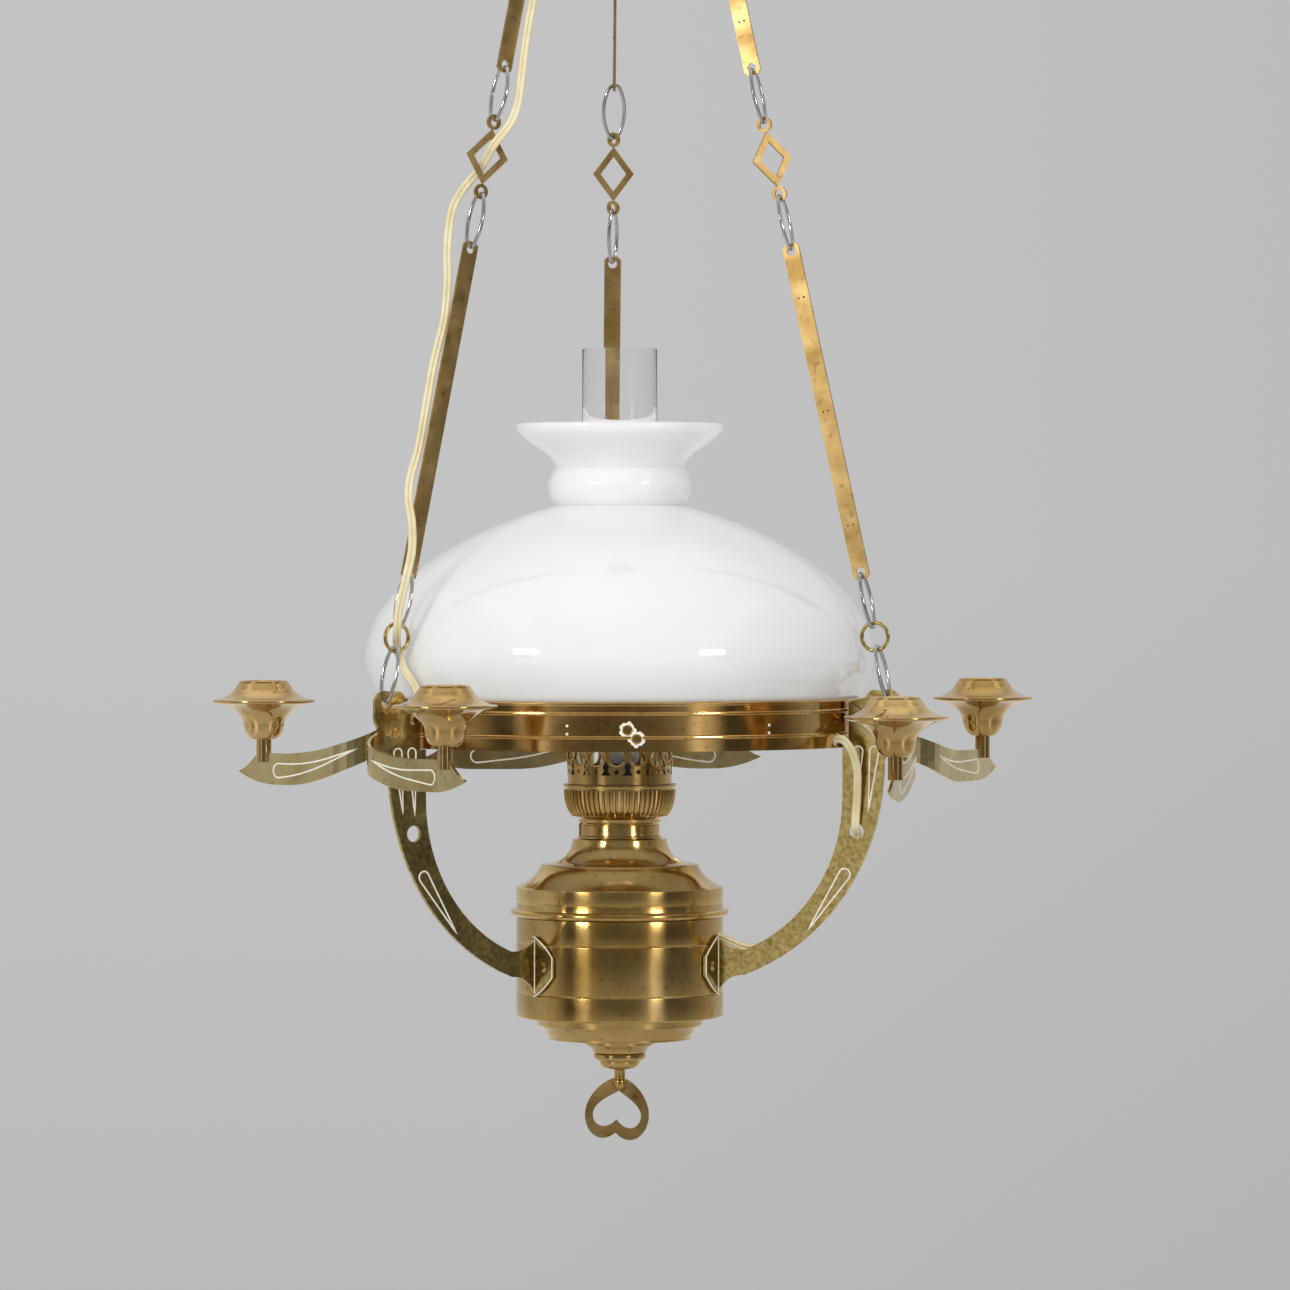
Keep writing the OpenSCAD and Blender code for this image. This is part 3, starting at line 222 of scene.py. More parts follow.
def metal(name, dark, bright, rough, grain=(1, 1, 1), spots=0.25, lathe=0.0, cloud_scale=22):
    """Old metal: cloudy tarnish, dark specks, uneven polish, and fine marks along one way."""
    material, tree, shader = new_material(name)
    cloud = ramp(tree, noise(tree, cloud_scale, detail=6), [(0.32, dark), (0.66, bright)])
    specks = ramp(tree, noise(tree, scale=260, detail=3), [(0.28, SPECK), (0.42, WHITE)])
    tree.links.new(mixed(tree, spots, cloud, specks, "MULTIPLY"), shader.inputs["Base Color"])
    polish = level(tree, noise(tree, scale=48, detail=5), *rough)
    tree.links.new(polish, shader.inputs["Roughness"])
    shader.inputs["Metallic"].default_value = 1.0
    shader.inputs["Anisotropic"].default_value = lathe
    shader.inputs["Anisotropic Rotation"].default_value = 0.25
    marks = noise(tree, scale=420, detail=3, stretch=grain)
    bumped(tree, shader, marks, strength=0.1, distance=0.0002)
    return material


def make_opal_glass():
    """Milky glass that lets light a little way in under a smooth face."""
    material, tree, shader = new_material("opal_glass")
    cloud = ramp(tree, noise(tree, scale=9, detail=2),
                 [(0.35, (0.86, 0.865, 0.86)), (0.65, (0.9, 0.9, 0.895))])
    tree.links.new(cloud, shader.inputs["Base Color"])
    polish = level(tree, noise(tree, scale=30, detail=3), 0.015, 0.04)
    tree.links.new(polish, shader.inputs["Roughness"])
    shader.inputs["IOR"].default_value = 1.5
    shader.inputs["Subsurface Weight"].default_value = 0.9
    shader.inputs["Subsurface Radius"].default_value = (0.01, 0.01, 0.01)
    shader.inputs["Subsurface Scale"].default_value = 0.8
    bumped(tree, shader, noise(tree, scale=14, detail=1), strength=0.02, distance=0.002)
    return material


def make_clear_glass():
    """Thin clear glass, a little uneven up its length."""
    material, tree, shader = new_material("clear_glass")
    tint = ramp(tree, noise(tree, scale=12, detail=2), [(0.3, (0.995, 0.997, 0.996)), (0.7, WHITE)])
    tree.links.new(tint, shader.inputs["Base Color"])
    polish = level(tree, noise(tree, scale=60, detail=4), 0.0, 0.02)
    tree.links.new(polish, shader.inputs["Roughness"])
    shader.inputs["IOR"].default_value = 1.12
    clear = level(tree, noise(tree, scale=40, detail=5), 1.0, 0.985)
    tree.links.new(clear, shader.inputs["Transmission Weight"])
    waves = noise(tree, scale=18, detail=1, stretch=(1, 1, 0.3))
    bumped(tree, shader, waves, strength=0.05, distance=0.001)
    return material


def plain(name, dark, light, rough, scale, depth):
    """A plastic or a dull crust with uneven colour and a fine surface."""
    material, tree, shader = new_material(name)
    colour = ramp(tree, noise(tree, scale, detail=4), [(0.3, dark), (0.7, light)])
    tree.links.new(colour, shader.inputs["Base Color"])
    polish = level(tree, noise(tree, 2 * scale, detail=3), *rough)
    tree.links.new(polish, shader.inputs["Roughness"])
    bumped(tree, shader, noise(tree, 6 * scale, detail=2), strength=0.15, distance=depth)
    return material


# Fine marks run round a turned piece, along a strip, or down a bar.
ROUND_IT, ALONG_IT, DOWN_IT = (1, 1, 6), (5, 5, 0.5), (1, 1, 0.2)

TURNED_BRASS = metal("turned_brass", (0.4, 0.235, 0.06), (0.58, 0.395, 0.15), (0.11, 0.22),
                     grain=ROUND_IT, spots=0.4, lathe=0.75)
# A lighter copy of the turned brass for the font: painted light, for the glow its shoulders mirror
# from inside the shade.
LIT_FONT_BRASS = metal("lit_font_brass", (0.47, 0.29, 0.08), (0.67, 0.47, 0.18), (0.11, 0.22),
                   grain=ROUND_IT, spots=0.4, lathe=0.75)
# A more coppery copy of the turned brass for the shade ring's band: its coppery tone is painted
# reflection of the warm, dark room round it.
REFLECTION_TINTED_BAND_BRASS = metal("reflection_tinted_band_brass", (0.4, 0.205, 0.045), (0.66, 0.43, 0.16), (0.06, 0.15),
                   grain=ROUND_IT, spots=0.4, lathe=0.6)
CUP_BRASS = metal("cup_brass", (0.42, 0.25, 0.075), (0.62, 0.43, 0.18), (0.05, 0.13),
                  grain=ROUND_IT, spots=0.3, lathe=0.3)
SHEET_BRASS = metal("sheet_brass", (0.36, 0.25, 0.07), (0.6, 0.46, 0.18), (0.1, 0.3),
                    spots=0.55, cloud_scale=420)
# Paler and lighter than the arms' sheet brass: the extra lightness is painted reflection of the
# light the candle arms' strips face.
LIT_STRIP_BRASS = metal("lit_strip_brass", (0.44, 0.345, 0.135), (0.68, 0.57, 0.3), (0.13, 0.28),
                    grain=ALONG_IT, spots=0.4, cloud_scale=40)
WORN_BRASS = metal("worn_brass", (0.35, 0.21, 0.065), (0.58, 0.4, 0.16), (0.28, 0.44),
                   grain=DOWN_IT, spots=0.5, cloud_scale=60)
STEEL_WIRE = metal("steel_wire", (0.45, 0.455, 0.46), (0.66, 0.66, 0.655), (0.1, 0.22),
                   spots=0.12)
OPAL_GLASS = make_opal_glass()
CLEAR_GLASS = make_clear_glass()
FROSTED_BULB = plain("frosted_bulb", (0.75, 0.75, 0.72), (0.85, 0.85, 0.83), (0.3, 0.45),
                     scale=40, depth=0.0001)
BAKELITE = plain("bakelite", (0.035, 0.02, 0.014), (0.06, 0.034, 0.022), (0.25, 0.4),
                 scale=60, depth=0.0001)
CREAM_FLEX = plain("cream_flex", (0.7, 0.6, 0.34), (0.82, 0.74, 0.5), (0.35, 0.5),
                   scale=90, depth=0.0002)
# Pale lines: dried polish in the engraving and round the rivets, and painted highlights on the
# flanges' folds.
PALE_RESIDUE_AND_GLINT_LINE = plain("pale_residue_and_glint_line", (0.74, 0.71, 0.56), (0.92, 0.9, 0.8), (0.6, 0.8),
                    scale=300, depth=0.0002)
# Dark lines: punched dots on the bars, and the painted shade inside the winder's hole.
DARK_LINE = plain("dark_line", (0.05, 0.032, 0.014), (0.11, 0.075, 0.035), (0.5, 0.7),
                  scale=300, depth=0.0002)


# ---- Making pieces ------------------------------------------------------------------------------

def finished(name, bm, material, body):
    """A bmesh made into a piece that rides on a body, with smooth faces and crisp edges."""
    bmesh.ops.remove_doubles(bm, verts=bm.verts, dist=MERGE_GAP)
    bmesh.ops.recalc_face_normals(bm, faces=bm.faces)
    mesh = bpy.data.meshes.new(name)
    bm.to_mesh(mesh)
    bm.free()
    mesh.shade_smooth()
    mesh.set_sharp_from_angle(angle=SHARP_ANGLE)
    piece = bpy.data.objects.new(name, mesh)
    bpy.context.collection.objects.link(piece)
    mesh.materials.append(material)
    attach(piece, body)
    return piece


def spun(name, outline, node, material, body="frame", centre=(0, 0), foot=None, soften=0.25):
    """A turned or blown piece: an outline of radii and heights, spun round an upright axis."""
    foot = LEVEL if foot is None else foot
    bm = bmesh.new()
    ring = [bm.verts.new((r * MM, 0, (foot + z) * MM)) for r, z in outline]
    closed = outline[0][0] > 0 and outline[-1][0] > 0
    pairs = list(zip(ring, ring[1:])) + ([(ring[-1], ring[0])] if closed else [])
    lines = [bm.edges.new(pair) for pair in pairs]
    bmesh.ops.spin(bm, geom=ring + lines, cent=(0, 0, 0), axis=(0, 0, 1), angle=math.tau,
                   steps=SPIN_STEPS, use_merge=True)
    bmesh.ops.remove_doubles(bm, verts=bm.verts, dist=MERGE_GAP)
    bmesh.ops.recalc_face_normals(bm, faces=bm.faces)
    if soften:
        corners = [e for e in bm.edges
                   if len(e.link_faces) == 2 and e.calc_face_angle() > SHARP_ANGLE]
        bmesh.ops.bevel(bm, geom=corners, offset=soften * MM, segments=2, profile=0.5,
                        affect="EDGES", material=-1, clamp_overlap=True)
    bmesh.ops.translate(bm, verts=bm.verts, vec=(centre[0] * MM, centre[1] * MM, 0))
    piece = finished(name, bm, material, body)
    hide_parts(node)


def wires(name, lines, radius, material, body="frame", closed=True):
    """Many thin lines as one mesh, such as engraved outlines or a row of ribs."""
    curve = bpy.data.curves.new(name, "CURVE")
    curve.dimensions = "3D"
    curve.bevel_depth = radius * MM
    curve.bevel_resolution = 2
    curve.use_fill_caps = True
    for line in lines:
        spline = curve.splines.new("POLY")
        spline.points.add(len(line) - 1)
        for point, place in zip(spline.points, line):
            point.co = (*place, 1.0)
        spline.use_cyclic_u = closed
    maker = bpy.data.objects.new(name + "_maker", curve)
    bpy.context.collection.objects.link(maker)
    bpy.context.view_layer.update()
    made = maker.evaluated_get(bpy.context.evaluated_depsgraph_get())
    mesh = bpy.data.meshes.new_from_object(made)
    bpy.data.objects.remove(maker)
    bm = bmesh.new()
    bm.from_mesh(mesh)
    bpy.data.meshes.remove(mesh)
    finished(name, bm, material, body)


def painted(material, *nodes):
    """One finish on pieces of the model."""
    for name in nodes:
        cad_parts[name].data.materials.clear()
        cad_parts[name].data.materials.append(material)


# ---- The flex: a flat twin cord laced down the left chain and led down the right arm ------------

# Beside the left chain: down it, out from it and across it.
FLEX_CHAIN = (
    (-16, -13, 4), (0, -11, 5), (16, -9, 5), (32, -8, 4.5), (60, -7.6, 3.6), (100, -7.6, 3.2),
    (145, -7.6, 3.2), (185, -7.8, 3.6), (206, -8.6, 4.6), (222, -8.2, 6.4), (234, -4.6, 8.2),
    (246, 1.4, 6.6), (252.5, 0, 0), (259, -1.4, -6.6), (268, 3.4, -9), (280, 10, -7),
    (292, 12.4, -4.6), (306, 11, -4), (320, 7.6, -4), (340, 5, -4), (366, 6.4, -4), (390, 6, -4),
    (410, 5.6, -4.2), (426, 7.8, -3.4), (438, 9, 0.4), (450, 7, 4.4), (464, 4.4, 5.2),
    (480, 4.4, 4.6), (494, 5, 4.6), (502, 4.2, 4.4), (506, 2.4, 2.8), (509, 0, 0),
    (512, -2.8, -2.8), (517, -6, -3.6), (524, -9.6, -1.6), (530, -13, 3), (538, -16.6, 8),
)
# Over the band and under it: radius, degrees past the station or the way out, and height.
FLEX_INTO_BAND = (
    (134.6, 5, 22), (134, 6.2, 14), (131.6, 6.5, 9.4), (128, 6.5, 8), (124.5, 7.5, 7.6),
)
FLEX_OUT_OF_BAND = ((124.6, -1.6, 7.6), (128, 0, 8))
FLEX_IN_TURN, FLEX_OUT_TURN = 6.5, 5.9
FLEX_ROUND_STEPS, FLEX_ROUND_R, FLEX_ROUND_H = 8, 123.5, 7.2
# Down the right arm: out from the axis, across the arm, and height.
FLEX_ARM = (
    (131.5, -13, 7.5), (135, -10, 2), (136.5, -6, -8), (136, -4, -20), (135, -3.6, -32),
    (134.33, -2.6, -37.5), (134.13, 0, -40.4), (133.03, 2.8, -43.5), (126, 4, -58),
    (116, 4.2, -76), (102, 4.2, -92), (86, 4.2, -101), (72, 4, -103), (62, 4, -100),
    (56, 3.9, -97.5), (50, 3.5, -97), (30, 2, -92), (10, 0, -82), (0, 0, -70), (0, 0, -52),
    (0, 0, -43.5),
)
FLEX_WIDTH, FLEX_THICK, FLEX_FLAT, FLEX_STEPS = 4.5, 2.3, Vector((1, 0.3, 0)), 5


def flex_route():
    """The flex from the crown, down the left chain, round in the band and down the right arm."""
    goes_in, comes_out = BEARING["left"] + FLEX_IN_TURN, BEARING["right"] - FLEX_OUT_TURN
    steps = [goes_in + (comes_out - goes_in) * i / FLEX_ROUND_STEPS
             for i in range(1, FLEX_ROUND_STEPS)]
    points = [chain_place("left", *p) for p in FLEX_CHAIN]
    points += [round_place(r, BEARING["left"] + turn, h) for r, turn, h in FLEX_INTO_BAND]
    points += [round_place(FLEX_ROUND_R, bearing, FLEX_ROUND_H) for bearing in steps]
    points += [round_place(r, comes_out + turn, h) for r, turn, h in FLEX_OUT_OF_BAND]
    return points + [station_place("right", *p) for p in FLEX_ARM]


def through(points, steps):
    """A smooth line through points, with a few steps between each two."""
    line = []
    for i in range(len(points) - 1):
        a, b, c, d = (points[min(max(i + k, 0), len(points) - 1)] for k in (-1, 0, 1, 2))
        for j in range(steps):
            t = j / steps
            line.append(0.5 * (2 * b + (c - a) * t + (2 * a - 5 * b + 4 * c - d) * t * t
                               + (3 * b - a - 3 * c + d) * t ** 3))
    return line + [points[-1]]


def make_flex():
    """Two round cores side by side, drawn along the route."""
    line = through(flex_route(), FLEX_STEPS)
    core = FLEX_THICK / 2
    shift = (FLEX_WIDTH - FLEX_THICK) / 2
    section = [(shift + core * math.cos(a), core * math.sin(a))
               for a in (math.radians(x) for x in range(-150, 151, 30))]
    section += [(-x, -y) for x, y in section]
    across = FLEX_FLAT
    bm = bmesh.new()
    loop = []
    for i, place in enumerate(line):
        along = (line[min(i + 1, len(line) - 1)] - line[max(i - 1, 0)]).normalized()
        across = (across - along * across.dot(along)).normalized()
        up = along.cross(across)
        places = [place + (across * x + up * y) * MM for x, y in section]
        if not loop:
            loop = [bm.verts.new(p) for p in places]
            edges = [bm.edges.new(pair) for pair in zip(loop, loop[1:] + loop[:1])]
            bm.faces.new(loop)
            continue
        made = bmesh.ops.extrude_edge_only(bm, edges=edges)["geom"]
        edges = [e for e in made
                 if isinstance(e, bmesh.types.BMEdge) and not any(v in loop for v in e.verts)]
        links = {}
        for vert in (v for v in made if isinstance(v, bmesh.types.BMVert)):
            old = next(e.other_vert(vert) for e in vert.link_edges if e.other_vert(vert) in loop)
            links[old] = vert
        loop = [links[v] for v in loop]
        for vert, p in zip(loop, places):
            vert.co = p
    bm.faces.new(loop)
    piece = finished("flex_cord", bm, CREAM_FLEX, "frame")
    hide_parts("flex")


make_flex()


# ---- Glass --------------------------------------------------------------------------------------

SHADE_FOOT, SHADE_WALL, CHIMNEY_WALL = 13.3, 3, 1.8


def make_shade():
    """A wide opal bowl with a rounded neck and a flared mouth, up from its foot."""
    outside = [(117.5, 0.6)]
    outside += bezier([(117.5, 3), (128, 16.5), (135, 26.7), (135, 36.7)], 24)
    outside += bezier([(135, 36.7), (132, 76.7), (79.7, 104.7), (34.7, 116.7)], 48)[1:]
    outside += [(34.7 + 3.5 * math.sin(math.pi * i / 24), 116.7 + 19.7 * i / 24)
                for i in range(1, 25)]
    outside += bezier([(34.7, 136.4), (35.7, 145.2), (45.9, 146.3), (54.2, 155.6)], 20)[1:]
    outside += [(54.9, 157.2), (54.9, 158.8)]
    lip = [(54.6, 159.6), (53.8, 160), (53, 159.6)]
    within = inside(outside[:-2], SHADE_WALL)
    spun("opal_shade", outside + lip + within[::-1], "shade", OPAL_GLASS, "shade",
         foot=LEVEL + SHADE_FOOT, soften=0)


def make_chimney():
    """A straight glass tube on a wider foot."""
    outside = [(25.6, 0)] + bezier([(25.6, 16), (25.6, 27), (19.9, 27), (19.9, 38)], 24)
    outside += [(19.9, 120), (19.9, 230)]
    within = inside(outside, CHIMNEY_WALL)
    spun("glass_chimney", outside + within[::-1], "chimney", CLEAR_GLASS, "chimney",
         foot=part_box("chimney")[0][2] / MM, soften=0.6)


make_shade()
make_chimney()


# ---- Turned and spun brass ----------------------------------------------------------------------

CUP_SPIGOT = 4.7
GROOVE_DEPTH, BOWL_WALL = 0.45, 1.2
RIB_COUNT, RIB_OUT, RIB_R = 60, 0.15, 0.95


def cup_outline():
    """A candle cup, up from the strip's top edge."""
    pan, mouth, bore = 27.0, 37.6, 10.0
    outline = [(0, -CUP_SPIGOT), (3.9, -CUP_SPIGOT), (3.9, pan - 20)]
    outline += bezier([(6.2, pan - 20), (9.8, pan - 18.5), (10.6, pan - 12)], 10)
    outline += bezier([(10.6, pan - 12), (11.8, pan - 4.5), (25.2, pan - 1.2)], 18)[1:]
    outline += arc((25.6, pan - 0.1), 0.9, -70, 100, 9)
    outline += bezier([(24.9, pan + 0.5), (18.3, pan + 2.2), (15.3, pan + 6)], 14)
    outline += bezier([(15.3, pan + 6), (13.9, pan + 8.2), (13.0, mouth - 1.3)], 8)[1:]
    outline += arc((11.9, mouth - 0.9), 0.9, 10, 90, 6)
    outline += [(bore + 0.6, mouth), (bore, mouth - 0.6), (bore, mouth - 18), (0, mouth - 18)]
    return outline


def make_cups():
    """A candle cup on the end of each candle arm."""
    for name in CANDLE_ARMS:
        low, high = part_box(name + "_candle_cup")
        centre = ((low[0] + high[0]) / 2 / MM, (low[1] + high[1]) / 2 / MM)
        spun(name + "_cup", cup_outline(), name + "_candle_cup", CUP_BRASS, centre=centre,
             foot=low[2] / MM + CUP_SPIGOT, soften=0)


def make_font():
    """The oil font: a wall in the holder, a bead and a band, two shoulders and an open collar."""
    outline = [(53, -137.5), (53, -87.4), (56, -87.4)] + arc((56, -85.4), 2, -80, 90, 10)
    outline += [(55, -83.4), (55, -80.2), (54.7, -79.9), (54.7, -79.5), (55, -79.2), (55, -72.2)]
    outline += bezier([(54.5, -71.8), (44.5, -67.6), (42, -60.7)], 16)
    outline += [(41.6, -60), (36.6, -59.3)] + bezier([(36, -59.3), (26, -57.1), (25, -46.5)], 16)
    outline += [(18.7, -46.5), (18.7, -60), (50, -75), (51.7, -90), (51.7, -136.2)]
    spun("font_body", [(0, -137.5)] + outline + [(0, -136.2)], "font", LIT_FONT_BRASS)


def groove(height):
    """A fine scored line round the holder's wall."""
    return [(HOLDER_R, height + GROOVE_DEPTH), (HOLDER_R - GROOVE_DEPTH, height),
            (HOLDER_R, height - GROOVE_DEPTH)]


def make_holder():
    """The cup that carries the font, with a stepped foot."""
    outline = [(0, -151), (36.5, -151), (41, -139), (53.5, -139), (53.5, -87.7), (HOLDER_R, -87.7)]
    outline += groove(-101) + groove(-127.5)
    outline += [(HOLDER_R, -140), (54.4, -140.6), (44, -141.5)]
    outline += bezier([(44, -145), (41, -147), (40, -149)], 8)
    outline += [(38, -151.3), (38, -152.5), (18.5, -152.5), (18.5, -155.5)]
    outline += bezier([(18.5, -155.5), (14.5, -158), (14.2, -160)], 8)[1:]
    spun("font_cup", outline + [(0, -160)], "font_holder", TURNED_BRASS)


def make_burner():
    """The burner's neck, which screws into the font, its bowl and its flange."""
    bowl = bezier([(21.8, -35.9), (26.6, -33.9), (28.6, -27.4), (28.6, -19.9)], 16)
    outline = [(0, -45.2), (16.2, -45.2), (16.2, -53.2), (18.2, -53.2), (18.2, -46.2),
               (22.2, -46.2), (22.2, -45), (21.2, -44.6), (21.2, -39.2), (20.8, -38.9),
               (20.8, -38.5), (21.8, -37.6)]
    outline += bowl + [(28.6, -18.9), (30, -18.9), (30, -17.5), (22.6, -17.5), (22.6, -20.9)]
    outline += inside(bowl, BOWL_WALL)[:0:-1] + [(19.6, -36.9), (19.6, -43), (0, -43)]
    spun("burner_body", outline, "burner", TURNED_BRASS, soften=0.2)


def make_burner_ribs():
    """The row of upright ribs round the burner's bowl."""
    profile = bezier([(21.8, -35.4), (26.6, -33.9), (28.6, -27.4), (28.6, -20.4)], 10)[2:]
    ribs = [[round_place(r + RIB_OUT, 360 * i / RIB_COUNT, z) for r, z in profile]
            for i in range(RIB_COUNT)]
    wires("burner_ribs", ribs, RIB_R, TURNED_BRASS, closed=False)


def make_finial():
    """The turned knob under the holder, with a ball for the heart's pin."""
    top, ball = -160.3, -176.3
    outline = [(0, top), (13.2, top), (13.8, top - 0.6), (13.8, top - 2.4), (13, top - 3.4),
               (10.8, top - 4)]
    outline += bezier([(10.8, top - 4.6), (10.6, top - 7.4), (6.8, top - 8.4)], 8)
    outline += [(2.9, top - 9.2), (2.9, -173.6)]
    outline += arc((0, ball), 3.8, 40, -88, 14) + [(0, ball - 3.8)]
    spun("finial_knob", outline, "bottom_finial", TURNED_BRASS, soften=0.2)


make_cups()
make_font()
make_holder()
make_burner()
make_burner_ribs()
make_finial()


# ---- Engraving, old polish, painted highlight and shade, and small trim -------------------------

ARM_FACE, STRIP_FACE = 0.85, 0.65
STRIP_OFF, STRIP_START, BEND_START, BEND_R = 2.0, 131.0, 153.4, 19.0
CUP_R, CUP_ANGLE = 193.3, {1: 25.9, -1: 20.7}
STRIP_TOP, STRIP_FALL, FALL_LENGTH = 21.5, 29.0, 85.0
# Engraved drops: point, round end and half width. A strip's is measured from its cup.
ARM_DROPS = (
    ((133.5, -31), (135.5, 4), 2.5),
    ((141, -30), (144.5, 4), 2.5),
    ((107, -93), (129.5, -60.5), 3.1),
)
STRIP_DROP = ((-66, 1.5), (-8, -1), 3.7)
# Bearing and height on the band.
RIVETS = ((272.0, 14.5), (274.1, 9.9))
BAND_DOTS = ((258.2, 16.6), (258.2, 12.4), (306.8, 16.4), (306.8, 12.4))
BAND_DOT_DEPTH, BAND_DOT_RISE, RESIDUE_SIZES = 0.4, 0.25, (2.9, 3.6)
FLANGE_R, FLANGE_TOP, FLANGE_HEIGHT, FLANGE_WIDTH, FLANGE_BULGE = 56.9, -96.5, 31.5, 14.0, 2
FOLD_OFF, FOLD_SHORT = 1.1, 1.5
WINDER_BEARING, WINDER_HEIGHT, WINDER_R = 186.0, -41.6, 3.0
NECK_INSIDE, NECK_FACE, NECK_RIM = 20.6, 21.35, 21.3
GALLERY_R, GALLERY_HOLES, GALLERY_FIRST = 27.7, 15, 267
GALLERY_HOLE_R, GALLERY_HOLE_UP = 4.2, 13.92
BAR_TOPS = (("upper_bar", 30.9), ("lower_bar", 302.2))
BAR_FACE, DOTS_DOWN, DOTS_APART, DOT_R = 0.72, (25, 86, 147), (-1.4, 1.4), 0.35


def full_turn(steps):
    """Angles once round a circle."""
    return [math.tau * i / steps for i in range(steps)]


def hairpin(point, end, half, steps=10):
    """A long drop's outline in a plane: straight sides from a point to a round end."""
    point, end = Vector(point), Vector(end)
    along = (end - point).normalized()
    side = Vector((-along[1], along[0]))
    middle = end - along * half
    lean = math.asin(half / (middle - point).length)
    turns = [math.pi / 2 + lean - (math.pi + 2 * lean) * i / steps for i in range(steps + 1)]
    cap = [middle + (along * math.cos(t) + side * math.sin(t)) * half for t in turns]
    there = [point.lerp(cap[0], i / steps) for i in range(steps)]
    back = [cap[-1].lerp(point, i / steps) for i in range(1, steps)]
    return there + cap + back


def strip_shape(hand):
    """Lead, bend and length up to the cup of a candle arm's strip."""
    a = math.radians(CUP_ANGLE[hand])
    v = Vector((CUP_R * math.cos(a) - BEND_START, CUP_R * math.sin(a) - STRIP_OFF - BEND_R))
    run = math.sqrt(v.length_squared - BEND_R ** 2)
    bend = math.atan2(v[1], v[0]) + math.atan(BEND_R / run)
    lead = BEND_START - STRIP_START
    return lead, bend, lead + BEND_R * bend + run


def strip_place(side, hand, fallen, along, above, face):
    """A point on a candle arm's strip: along it, above its middle line, and off towards a face."""
    lead, bend, to_cup = strip_shape(hand)
    a = min(max((along - lead) / BEND_R, 0), bend)
    past = max(0, along - lead - BEND_R * bend)
    out = STRIP_START + min(along, lead) + (BEND_R - face) * math.sin(a) + past * math.cos(a)
    across = STRIP_OFF + BEND_R * (1 - math.cos(a)) + past * math.sin(a) + face * math.cos(a)
    t = min(1, max(0, (along - lead) / (to_cup - lead)))
    curve = STRIP_FALL * (1 - max(0, 1 - along / FALL_LENGTH) ** 2)
    height = STRIP_TOP - curve - fallen * t * t * (3 - 2 * t)
    return station_place(side, out, hand * across, height + above)


def make_engraving():
    """Long drops scored on both faces of the arms and the strips."""
    lines = []
    for side in BEARING:
        for face in (-ARM_FACE, ARM_FACE):
            shapes = [hairpin(*drop) for drop in ARM_DROPS]
            lines += [[station_place(side, x, face, z) for x, z in shape] for shape in shapes]
    (point, point_up), (end, end_up), half = STRIP_DROP
    for side, hand, fallen in CANDLE_ARMS.values():
        to_cup = strip_shape(hand)[2]
        for face in (-STRIP_FACE, STRIP_FACE):
            outline = hairpin((to_cup + point, point_up), (to_cup + end, end_up), half)
            lines.append([strip_place(side, hand, fallen, x, z, face) for x, z in outline])
    wires("engraved_drops", lines, radius=0.5, material=PALE_RESIDUE_AND_GLINT_LINE)


def wall_loop(r, bearing, height, sizes):
    """A loop on a round wall, from its sizes once round."""
    loop = []
    for t, size in zip(full_turn(len(sizes)), sizes):
        turn = math.degrees(size * math.cos(t) / r)
        loop.append(round_place(r, bearing + turn, height + size * math.sin(t)))
    return loop


def ragged(r, bearing, height, size):
    """A ragged loop on a round wall, such as old polish left round a rivet."""
    sizes = [size * (1 + 0.12 * math.sin(5 * t + bearing) + 0.1 * math.sin(9 * t + height))
             for t in full_turn(36)]
    return wall_loop(r, bearing, height, sizes)


def make_residue_and_glints():
    """Dried polish round the ring's rivets and along the flanges' edges, pale dots on the band, and
    a painted highlight down each flange's fold.
    """
    loops = [ragged(BAND_R, *place, size) for place in RIVETS for size in RESIDUE_SIZES]
    wires("rivet_residue", loops, radius=0.5, material=PALE_RESIDUE_AND_GLINT_LINE)
    depths = (BAND_R - BAND_DOT_DEPTH, BAND_R + BAND_DOT_RISE)
    dots = [[round_place(r, *place) for r in depths] for place in BAND_DOTS]
    wires("band_dots", dots, radius=0.75, material=PALE_RESIDUE_AND_GLINT_LINE, closed=False)
    middle, bow = FLANGE_TOP - FLANGE_HEIGHT / 2, FLANGE_HEIGHT / 6
    foot, half = FLANGE_TOP - FLANGE_HEIGHT, FLANGE_WIDTH / 2
    low_bend, high_bend = (half, foot + FLANGE_BULGE), (half, FLANGE_TOP - FLANGE_BULGE)
    edge = bezier([(0, foot), low_bend, (FLANGE_WIDTH, middle - bow)], 10)
    edge += bezier([(FLANGE_WIDTH, middle + bow), high_bend, (0, FLANGE_TOP)], 10)
    # Painted highlight: a pale line down each flange's fold, where the bent corner catches the
    # light.
    fold_glint = [(FOLD_OFF, foot + FOLD_SHORT), (FOLD_OFF, FLANGE_TOP - FOLD_SHORT)]
    lines = []
    for side in BEARING:
        hand = -1 if side == "right" else 1
        for line in (edge, fold_glint):
            turns = [hand * math.degrees(math.asin(x / FLANGE_R)) for x, _ in line]
            lines.append([round_place(FLANGE_R, BEARING[side] + turn, z)
                          for turn, (_, z) in zip(turns, line)])
    wires("flange_residue_and_fold_glints", lines, radius=0.32, material=PALE_RESIDUE_AND_GLINT_LINE, closed=False)


